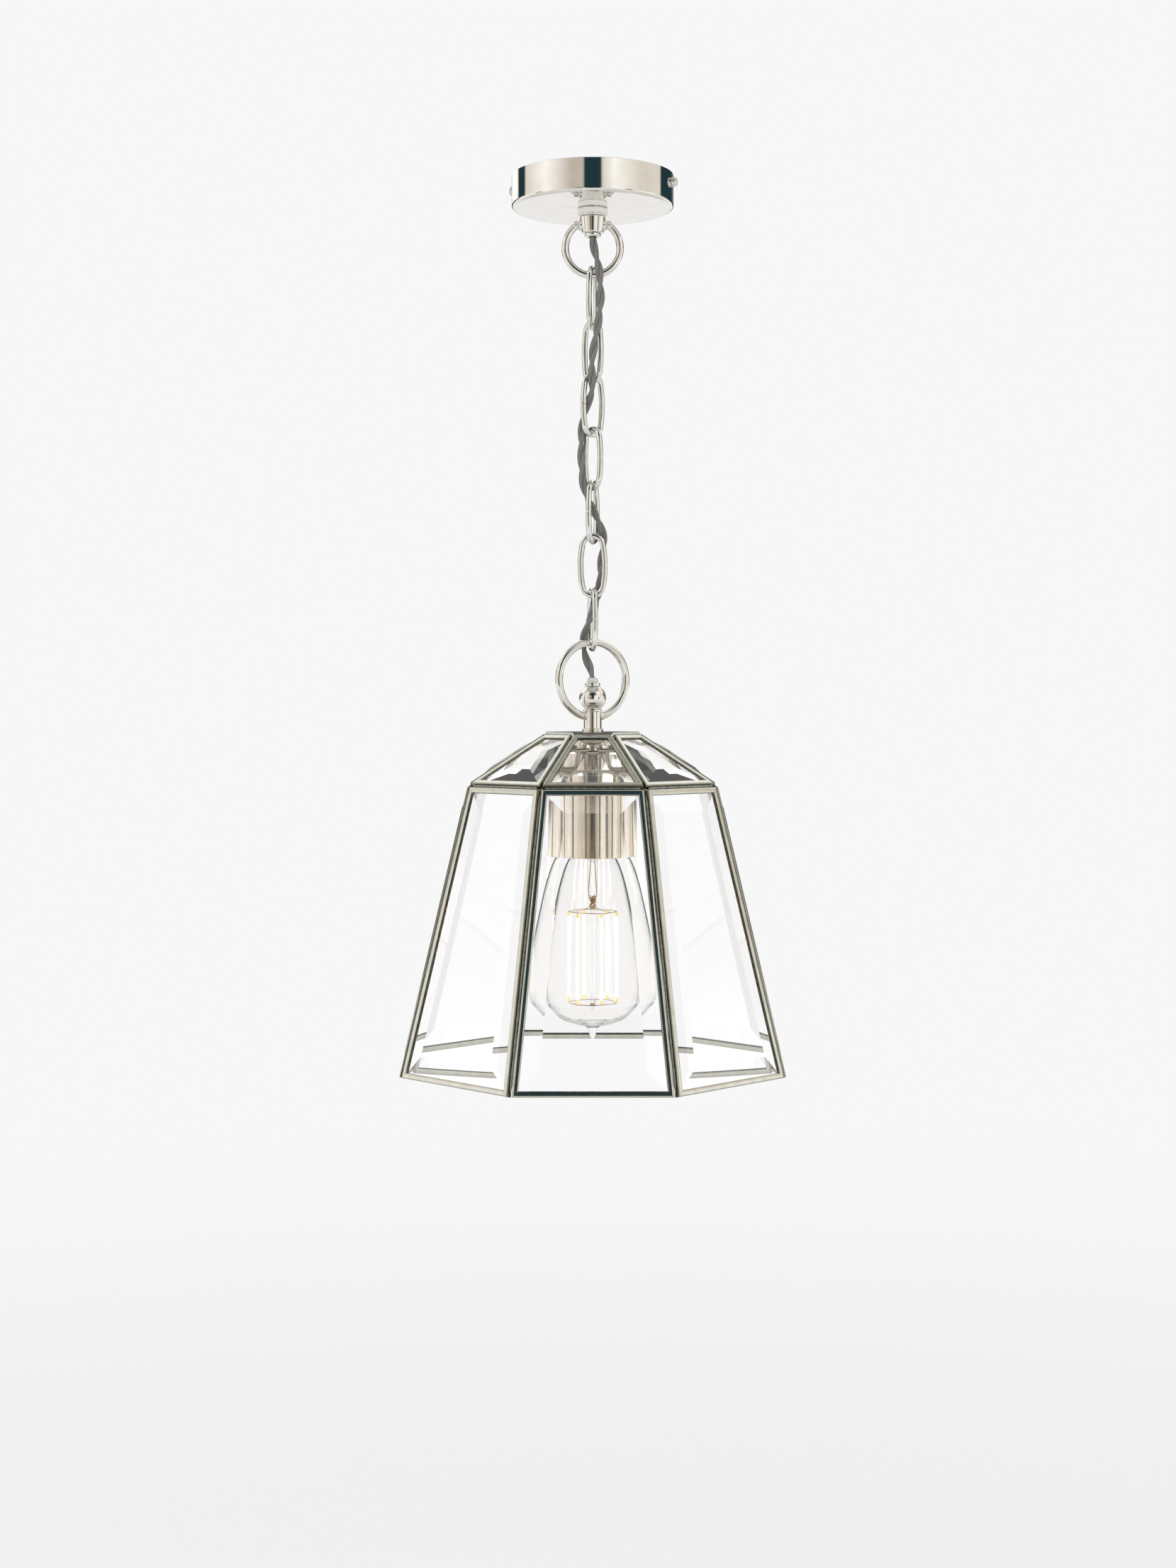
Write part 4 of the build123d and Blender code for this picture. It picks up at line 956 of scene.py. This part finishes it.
def pane(name, panel):
    # a plate with a thin edge in the came and a broad bevel up to its flat middle
    s = bodySettings
    back = (s["depth"] + s["glassEdge"]) / 2
    front = (s["depth"] - s["glassEdge"]) / 2
    edge, sight = s["web"] + s["glassGap"], s["face"] + s["glassGap"]
    levels = [(edge, back), (edge, front), (sight, front), (sight + s["bevel"], front - s["glassRise"])]
    verts, faces = [], []
    for inset, depth in levels:
        for corner in range(4):
            x, y = panelCorner(panel, inset, corner)
            verts.append(panelPoint(panel, x, y, depth))
    for level in range(len(levels) - 1):
        for k in range(4):
            j = (k + 1) % 4
            a, b = level * 4, level * 4 + 4
            faces.append((a + k, a + j, b + j, b + k))
    faces.append((0, 1, 2, 3))
    last = 4 * (len(levels) - 1)
    faces.append((last + 3, last + 2, last + 1, last))
    return meshFrom(name, verts, faces, 3)


def bead(name, start, end, radius, seed):
    # a bead of solder with rounded ends and a slightly uneven run
    run = end - start
    n, rows, tip = 14, 42, 0.12 * mm
    verts, faces = [start.copy()], []
    turn = run.to_track_quat("Z", "Y")
    for i in range(rows + 1):
        t = i / rows
        ends = min(t, 1 - t) * run.length
        swell = min(1.0, sqrt(max(ends, tip) / (radius * mm)))
        wobble = 1 + 0.07 * sin(23 * t + seed) + 0.05 * sin(57 * t + 2 * seed)
        for k in range(n):
            a = 2 * pi * k / n
            r = radius * mm * swell * min(wobble, 1.06)
            verts.append(start + run * t + turn @ Vector((r * cos(a), r * sin(a), 0)))
    verts.append(end.copy())
    for i in range(rows):
        for k in range(n):
            j = (k + 1) % n
            a, b = 1 + i * n, 1 + (i + 1) * n
            faces.append((a + k, a + j, b + j, b + k))
    for k in range(n):
        j = (k + 1) % n
        faces.append((0, 1 + j, 1 + k))
        last = 1 + rows * n
        faces.append((last + k, last + j, len(verts) - 1))
    return meshFrom(name, verts, faces, 40)


def makePlate():
    # the octagonal plate with eased edges and a hole for the tube
    s = bodySettings
    sides, steps = s["sides"], 6 * s["sides"]
    inset, drop = s["plateEase"]
    plate = bmesh.new()
    rims = []
    for z, back in ((plateTop, inset), (plateTop - drop, 0.0), (plateLow + drop, 0.0), (plateLow, inset)):
        r = (s["plateFlats"] / 2 - back) / cos(halfTurn)
        corners = arc(0, 0, r, halfTurn, halfTurn + 2 * pi, sides)[:-1]
        rims.append([plate.verts.new(Vector((x, y, z)) * mm) for x, y in corners])
    for a, b in zip(rims, rims[1:]):
        for k in range(sides):
            j = (k + 1) % sides
            plate.faces.new((a[k], b[k], b[j], a[j]))
    circle = arc(0, 0, stackBore, 0, 2 * pi, steps)[:-1]
    hole = [[plate.verts.new(Vector((x, y, z)) * mm) for x, y in circle] for z in (plateTop, plateLow)]
    for k in range(steps):
        j = (k + 1) % steps
        plate.faces.new((hole[0][k], hole[0][j], hole[1][j], hole[1][k]))
    for outer, inner in ((rims[0], hole[0]), (rims[-1], hole[1])):
        for k in range(sides):
            first = round((halfTurn / (2 * pi) + k / sides) * steps)
            run = [inner[(first + t) % steps] for t in range(steps // sides + 1)]
            plate.faces.new([outer[k], outer[(k + 1) % sides]] + run[::-1])
    mesh = bpy.data.meshes.new("topPlate")
    plate.to_mesh(mesh)
    plate.free()
    layer = mesh.attributes.new("patinaAndShade", "FLOAT", "POINT")
    layer.data.foreach_set("value", [0.25] * len(mesh.vertices))
    place("topPlate", tidyMesh(mesh, 25), cameMetal, "lantern", "antique_nickel", "top_plate")


def makePanels(roof, side):
    sides = bodySettings["sides"]
    for name, panel in (("roof", roof), ("side", side)):
        bars = around(f"{name}Cames", cameBars(f"{name}Cames", panel), sides, 0.0, cameMetal, 28)
        place(f"{name}Cames", bars, None, "lantern", "antique_nickel", f"{name}_cames")
        for k in range(sides):
            sheet = pane(f"{name}Pane{k + 1}", panel)
            sheet.transform(Matrix.Rotation(2 * pi * k / sides, 4, "Z"))
            place(f"{name}Pane{k + 1}", sheet, bevelGlass, "lantern", "bevelled_glass",
                  f"{name}_glass_{k + 1}")


# radius of each bead and how far it stops short of the groove's two ends
solderSettings = {"hip": (0.52, 5.0, 4.0), "post": (0.82, 4.0, 2.5), "shoulder": (0.82, 2.2, 2.2),
                  "clear": 0.08, "shoulderLift": 0.88}


def cornerBead(panel, radius, first, last, seed):
    # lies in the groove between one panel and the next
    depth = bodySettings["depth"]
    fold = acos(panel["out"] ** 2 * cos(2 * halfTurn) + panel["up"] ** 2)
    lift = (radius + solderSettings["clear"]) / sin(fold / 2)
    ends = []
    for y in (first, panel["length"] - last):
        r = (panel["r"] + y * panel["up"] - depth * panel["out"]) / cos(halfTurn)
        z = panel["z"] - y * panel["out"] - depth * panel["up"]
        ends.append(Vector((r, 0, z)))
    along = (ends[1] - ends[0]).normalized()
    outward = Vector((-along.z, 0, along.x)) * lift
    spin = Matrix.Rotation(halfTurn - pi / 2, 3, "Z")
    start, end = [spin @ ((p + outward) * mm) for p in ends]
    return bead("bead", start, end, radius, seed)


def shoulderBead(roof, side, radius, first, last, seed):
    # lies in the groove between a roof panel and the side panel under it
    depth = bodySettings["depth"]
    lowR = roof["r"] + roof["length"] * roof["up"] - depth * roof["out"]
    lowZ = roof["z"] - roof["length"] * roof["out"] - depth * roof["up"]
    highR = side["r"] - depth * side["out"]
    highZ = side["z"] - depth * side["up"]
    fold = acos(roof["out"] * side["out"] + roof["up"] * side["up"])
    lean = (atan2(roof["up"], roof["out"]) + atan2(side["up"], side["out"])) / 2
    reach = solderSettings["shoulderLift"] / sin(fold / 2)
    r = (lowR + highR) / 2 + reach * cos(lean)
    z = (lowZ + highZ) / 2 + reach * sin(lean)
    half = lowR * tan(halfTurn)
    return bead("bead", Vector((first - half, -r, z)) * mm, Vector((half - last, -r, z)) * mm, radius, seed)


def makeSolder(roof, side):
    s = solderSettings
    beads = [cornerBead(roof, *s["hip"], 1.0), cornerBead(side, *s["post"], 2.0),
             shoulderBead(roof, side, *s["shoulder"], 4.0)]
    corner = joinMeshes("oneCorner", beads)
    place("solder", around("solder", corner, bodySettings["sides"], 0.0, solderAndGapShade, 40), None, "lantern",
          "solder", "solder_seams")


roofPanel = makePanel(bodySettings["roofTop"], bodySettings["roofLow"])
sidePanel = makePanel(bodySettings["sideTop"], bodySettings["sideLow"])
makePlate()
makePanels(roofPanel, sidePanel)
makeSolder(roofPanel, sidePanel)
print("glass body made")


# the lamp holder's cover
holderSettings = {"radius": 21.3, "wall": 0.8, "corner": 4.0, "segments": 160}


def makeHolder():
    s = holderSettings
    bottom, top = heights("holder_cover")
    r, w = s["radius"], s["wall"]
    outline = roundCorners([(stackBore, top), (r, top), (r, bottom), (r - w, bottom), (r - w, top - w),
                            (stackBore, top - w)], [0.1, s["corner"], 0.3, 0.3, s["corner"] - w, 0.1], 8)
    turned("holderCover", outline, s["segments"], holderNickel, "lantern", "antique_nickel", "holder_cover")


makeHolder()


# the bulb: cap, envelope, stem, filaments and the wires that hold them
bulbSettings = {"cap": 13.0, "threads": 4, "threadPitch": 3.62, "threadDepth": 0.9, "wall": 0.9,
                "circle": 16.0, "filament": 0.8, "filaments": 6, "firstAngle": -69.0, "tip": 3.2,
                "pinchRise": 8.0, "hoopWire": 0.27, "spokeWire": 0.22, "leadWire": 0.26, "foldWire": 0.3,
                "folds": 5}


def makeCap():
    s = bulbSettings
    bottom, top = heights("bulb_cap")
    c, swing, rows = s["cap"], s["threadDepth"] / 2, 72
    thread = []
    for k in range(rows + 1):
        z = top - 2.6 - s["threads"] * s["threadPitch"] * k / rows
        thread.append((c - swing + swing * cos(2 * pi * k * s["threads"] / rows + pi), z))
    outline = [(c - 2.2, top), (c - 1.4, top - 0.5), (c - 0.6, top - 1.4)] + thread
    outline += [(c - 0.1, bottom + 0.4), (c - 0.1, bottom), (c - 1.3, bottom), (c - 1.5, top - 2.2),
                (c - 2.4, top - 1.0)]
    turned("bulbCap", outline, 96, capMetal, "bulb", "bulb_cap", "bulb_cap", 50)


def makeEnvelope():
    # the neck follows the cap, the dome follows the tip
    bottom, top = heights("bulb_glass")
    capEnd = heights("bulb_cap")[0]
    wide, dome, w = bottom + 31.0, bottom + 10.0, bulbSettings["wall"]
    flank = [(11.7, top), (11.7, capEnd - 0.5), (13.6, capEnd - 5.0), (18.6, capEnd - 15.0),
             (22.6, capEnd - 28.0), (26.4, capEnd - 46.0), (30.2, capEnd - 68.0), (31.95, wide + 7.0),
             (31.6, wide - 4.0)]
    outer = flank + [(28.6, dome + 11.5), (21.6, dome + 4.4), (13.0, dome + 0.9), (6.0, dome - 0.6),
                     (3.2, dome - 3.2), (2.0, bottom + 3.0), (1.1, bottom + 0.7), (0, bottom)]
    inner = [(r - w, z) for r, z in flank]
    inner += [(27.8, dome + 12.0), (21.2, dome + 5.3), (12.9, dome + 1.8), (6.0, dome + 0.6), (0, dome - 0.2)]
    outline = smoothThrough(outer) + smoothThrough(inner)[::-1]
    turned("bulbEnvelope", outline, 96, bulbGlass, "bulb", "bulb_glass", "bulb_glass", 60)


def makeStem(pinch):
    bottom, top = heights("bulb_stem")
    outer = [(10.5, top), (8.2, top - 3.0), (5.2, top - 8.0), (3.9, top - 14.0), (3.3, pinch + 8.0),
             (2.7, pinch + 1.5), (1.4, pinch - 1.5), (1.0, pinch - 4.0), (1.0, bottom + 0.8), (0, bottom)]
    inner = [(9.9, top), (7.4, top - 3.2), (4.4, top - 8.2), (3.0, top - 13.0), (0, top - 15.5)]
    outline = smoothThrough(outer) + smoothThrough(inner)[::-1]
    turned("bulbStem", outline, 64, stemGlass, "bulb", "bulb_glass", "bulb_stem", 60)


def rod(name, start, end, ease):
    # one upright round piece of a filament, out on the filaments' circle
    s = bulbSettings
    f = s["filament"]
    outline = roundCorners([(0, start), (f, start), (f, end), (0, end)], [0, ease, ease, 0], 3)
    mesh = lathe(name, outline, 20, closed=False)
    mesh.transform(Matrix.Translation(Vector((s["circle"] * mm, 0, 0))))
    return mesh


def makeFilaments():
    s = bulbSettings
    bottom, top = heights("bulb_filaments")
    count, start, tip = s["filaments"], radians(s["firstAngle"]), s["tip"]
    lit = around("filaments", rod("rod", bottom + tip, top - tip, 0.1), count, start, glow)
    place("filaments", lit, None, "bulb", "filament", "bulb_filaments")
    tips = [rod("tip", a, b, 0.35) for a, b in ((bottom, bottom + tip - 0.05), (top - tip + 0.05, top))]
    place("filamentTips", around("filamentTips", joinMeshes("tips", tips), count, start, tipCoat), None,
          "bulb", "filament")


def makeSpider(level, dip):
    # a wavy hoop through the filaments' ends and three spokes to the stem
    s = bulbSettings
    start = radians(s["firstAngle"])
    hoop = []
    for k in range(72):
        angle = 2 * pi * k / 72
        bow = s["circle"] - 0.5 + 0.35 * cos(s["filaments"] * (angle - start))
        hoop.append((bow * cos(angle), bow * sin(angle), level + 0.12 * dip * cos(3 * angle)))
    wires = [wire("hoop", hoop, s["hoopWire"], supportMetal, True, 12)]
    for k in range(3):
        middle = start + pi / 6 + 2 * pi * k / 3
        spoke = [(r * cos(middle), r * sin(middle), level + rise * dip)
                 for r, rise in ((1.0, 2.0), (5.0, 1.3), (10.5, 0.4), (15.3, 0.0))]
        wires.append(wire("spoke", smoothThrough(spoke), s["spokeWire"], supportMetal, sides=12))
    return wires


def makeLead(side, stemTop, pinch, top):
    # one of the two wires down the stem, through the pinch to the upper hoop
    lead = [(side * 1.6, 0.2, stemTop), (side * 1.3, 0.0, stemTop - 12.0), (side * 2.0, 0.0, pinch + 12.0),
            (side * 2.3, 0.2, pinch + 4.0), (side * 1.2, 0.1, pinch - 1.0), (side * 2.2, -0.4, pinch - 4.0),
            (side * 1.3, -0.8, top + 3.2), (side * 1.0, 0, top + 2.4)]
    return wire("lead", smoothThrough(lead), bulbSettings["leadWire"], supportMetal, sides=12)


def makeFold(k, pinch):
    # one loose coil of the flattened wire at the pinch
    points = []
    phase = 1.1 * k
    for t in range(7):
        reach = 1.5 + 0.8 * sin(2.3 * t + phase)
        angle = 1.7 * t + phase
        points.append((reach * cos(angle), reach * sin(angle), pinch + 2.6 - 1.15 * t + 0.5 * sin(3 * t + k)))
    return wire("fold", smoothThrough(points, 6), bulbSettings["foldWire"], pinchMetal, sides=10)


def makeWires(pinch):
    bottom, top = heights("bulb_filaments")
    stemTop = heights("bulb_stem")[1] - 5.0
    wires = makeSpider(top + 0.3, 1.6) + makeSpider(bottom - 0.3, -1.2)
    wires += [makeLead(side, stemTop, pinch, top) for side in (-1, 1)]
    for z in (top + 2.6, bottom - 1.6):
        clip = roundCorners([(1.05, z - 0.7), (1.75, z - 0.7), (1.75, z + 0.7), (1.05, z + 0.7)],
                            [0.1, 0.2, 0.2, 0.1], 3)
        wires.append(lathe("clip", clip, 32))
    folds = [makeFold(k, pinch) for k in range(bulbSettings["folds"])]
    place("pinchWires", joinMeshes("pinchWires", folds), pinchMetal, "bulb", "filament_wire")
    place("filamentWires", joinMeshes("filamentWires", wires), supportMetal, "bulb", "filament_wire",
          "filament_supports")


pinchHeight = heights("bulb_filaments")[1] + bulbSettings["pinchRise"]
makeCap()
makeEnvelope()
makeStem(pinchHeight)
makeFilaments()
makeWires(pinchHeight)
print("holder and bulb made")

# parts whose solids are right as they are, most of them out of sight
nodeFinish = {"ceiling_bracket": zincSteel, "terminal_block": whiteMoulding, "terminal_screws": brass,
              "rose_leads": brownCore, "canopy_nipple": brass, "nipple_nut": zincSteel,
              "lantern_nipple": brass, "lantern_nut": zincSteel, "holder_leads": brownCore,
              "holder_spacer": holderNickel, "lampholder_body": blackMoulding, "screw_shell": brass,
              "centre_contact": brass, "bulb_contact": glossyBlack}
for node, finish in nodeFinish.items():
    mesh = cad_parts[node].data
    mesh.materials.clear()
    mesh.materials.append(finish)
print("carried-over parts finished")


# the studio: pale surroundings, a pale floor, soft light
pale, cream, warm = (1.15, 1.14, 1.11), (0.80, 0.76, 0.68), (0.62, 0.56, 0.48)
teal, brown, olive, grey = (0.016, 0.042, 0.052), (0.22, 0.13, 0.07), (0.22, 0.23, 0.185), (0.40, 0.41, 0.38)
studio = {
    "paper": 0.93, "throughGlass": 1.10, "floorHeight": -1.75, "floorRadius": 7.0,
    "floorTone": (0.86, 0.86, 0.865), "floorFade": (1.2, 6.3), "aim": (0, 0, -0.35),
    "lights": {"keyLight": ((-1.4, -1.6, 0.7), 1.2, 22), "fillLight": ((1.6, -1.2, 0.2), 1.4, 10)},
    # heights between which one tier fades into the next, as the rise of a unit direction
    "lowEdge": (-0.068, -0.05), "middleEdge": (0.165, 0.185), "highEdge": (0.36, 0.44), "calmAngle": 112,
    # where the walls show, and what lies over and under them, from straight down at 0 to straight up at 1
    "wallShow": [(0.415, 0), (0.43, 1), (0.87, 1), (0.91, 0)],
    # degrees from the front towards the right, and what is mirrored there
    "lowTier": [(-180, teal), (-140, teal), (-128, olive), (-120, cream), (-90, pale), (-84, grey),
                (-78, grey), (-72, pale), (-50, cream), (-28, warm), (-22, olive), (-19, teal),
                (-15, olive), (-12, warm), (-9, brown), (-4, teal), (1, teal), (5, brown), (9, teal),
                (12, cream), (44, pale), (48, grey), (54, teal), (58, cream), (92, pale), (108, cream),
                (122, olive), (138, teal), (180, teal)],
    "middleTier": [(-180, grey), (-171, olive), (-164, pale), (-135, pale), (-130, teal), (-113, teal),
                   (-110, cream), (-70, pale), (-30, warm), (-14, warm), (-11, teal), (11, teal), (14, cream),
                   (30, pale), (70, cream), (110, cream), (114, teal), (150, teal), (164, olive), (180, grey)],
    "highTier": [(-180, pale), (-120, pale), (-100, cream), (-62, pale), (-42, cream), (-28, olive),
                 (-16, teal), (16, teal), (28, olive), (42, cream), (62, pale), (100, cream),
                 (120, pale), (180, pale)],
    "ceiling": [(0.0, (0.93, 0.93, 0.94)), (0.5, (0.93, 0.93, 0.94)), (0.9, (0.62, 0.62, 0.58)),
                (0.955, (0.30, 0.31, 0.27)), (1.0, (0.75, 0.75, 0.72))]}


def makeWorld():
    # plain pale surroundings; what polished metal mirrors has darker uprights in it, in three tiers
    world = bpy.data.worlds.new("studio")
    bpy.context.scene.world = world
    world.use_nodes = True
    tree = world.node_tree
    tree.nodes.clear()
    link, new = tree.links.new, tree.nodes.new

    def maths(kind, *values):
        node = new("ShaderNodeMath")
        node.operation = kind
        for socket, value in zip(node.inputs, values):
            if isinstance(value, (int, float)):
                socket.default_value = value
            else:
                link(value, socket)
        return node.outputs[0]

    def mixed(factor, a, b):
        node = new("ShaderNodeMix")
        node.data_type = "RGBA"
        link(factor, node.inputs["Factor"])
        for label, value in (("A", a), ("B", b)):
            if isinstance(value, tuple):
                node.inputs[label].default_value = (*value, 1)
            else:
                link(value, node.inputs[label])
        return node.outputs["Result"]

    def fadeUp(lowest, highest):
        node = new("ShaderNodeMapRange")
        node.inputs["From Min"].default_value = lowest
        node.inputs["From Max"].default_value = highest
        link(height, node.inputs["Value"])
        return node.outputs[0]

    def tier(stops):
        return ramp(tree, share, [((angle + 180) / 360, colour) for angle, colour in stops])

    direction = new("ShaderNodeTexCoord")
    parts = new("ShaderNodeSeparateXYZ")
    link(direction.outputs["Generated"], parts.inputs[0])
    turn = maths("ARCTAN2", parts.outputs["X"], maths("MULTIPLY", parts.outputs["Y"], -1.0))
    share = maths("MULTIPLY_ADD", turn, 1 / (2 * pi), 0.5)
    height = parts.outputs["Z"]
    lowStops = studio["lowTier"]
    lowTier, middleTier, highTier = tier(lowStops), tier(studio["middleTier"]), tier(studio["highTier"])
    calm = tier([(a, colour if abs(a) < studio["calmAngle"] else pale) for a, colour in lowStops])
    toLow, toMiddle, toHigh = [fadeUp(*studio[edge]) for edge in ("lowEdge", "middleEdge", "highEdge")]
    walls = mixed(toHigh, mixed(toMiddle, mixed(toLow, calm, lowTier), middleTier), highTier)
    up = maths("MULTIPLY_ADD", height, 0.5, 0.5)
    cover = ramp(tree, up, studio["ceiling"])
    showWalls = ramp(tree, up, [(position, (shown, shown, shown)) for position, shown in studio["wallShow"]])
    mirrored = mixed(showWalls, cover, walls)
    path = new("ShaderNodeLightPath")
    paper = studio["paper"]
    lifted = paper * studio["throughGlass"]
    through = maths("GREATER_THAN", path.outputs["Transmission Depth"], 0.5)
    plain = mixed(through, (paper, paper, paper), (lifted, lifted, lifted))
    shiny = maths("GREATER_THAN", path.outputs["Glossy Depth"], 0.5)
    shade = new("ShaderNodeBackground")
    link(mixed(shiny, plain, mirrored), shade.inputs["Color"])
    out = new("ShaderNodeOutputWorld")
    link(shade.outputs[0], out.inputs["Surface"])


def makeFloor():
    # a pale disc far below that fades out towards its rim
    r, z, n = studio["floorRadius"], studio["floorHeight"], 96
    mesh = bpy.data.meshes.new("floor")
    mesh.from_pydata([(x, y, z) for x, y in arc(0, 0, r, 0, 2 * pi, n)[:-1]], [], [tuple(range(n))])
    mat, tree, bsdf = newMaterial("paleFloor")
    coords = tree.nodes.new("ShaderNodeTexCoord")
    reach = tree.nodes.new("ShaderNodeVectorMath")
    reach.operation = "LENGTH"
    tree.links.new(coords.outputs["Object"], reach.inputs[0])
    fade = tree.nodes.new("ShaderNodeMapRange")
    fade.interpolation_type = "SMOOTHERSTEP"
    fade.inputs["From Min"].default_value, fade.inputs["From Max"].default_value = studio["floorFade"]
    fade.inputs["To Min"].default_value = 1.0
    fade.inputs["To Max"].default_value = 0.0
    tree.links.new(reach.outputs["Value"], fade.inputs["Value"])
    bsdf.inputs["Base Color"].default_value = (*studio["floorTone"], 1)
    bsdf.inputs["Roughness"].default_value = 0.7
    tree.links.new(fade.outputs[0], bsdf.inputs["Alpha"])
    mesh.materials.append(mat)
    addObject("floor", mesh)


def makeLights():
    for name, (spot, size, power) in studio["lights"].items():
        data = bpy.data.lights.new(name, "AREA")
        data.shape = "RECTANGLE"
        data.size, data.size_y = size, size
        data.energy = power
        light = bpy.data.objects.new(name, data)
        light.location = spot
        light.rotation_euler = (Vector(studio["aim"]) - Vector(spot)).to_track_quat("-Z", "Y").to_euler()
        light.visible_glossy = False
        bpy.context.collection.objects.link(light)


makeWorld()
makeFloor()
makeLights()
bpy.context.scene.view_settings.view_transform = "Standard"
print("studio made")
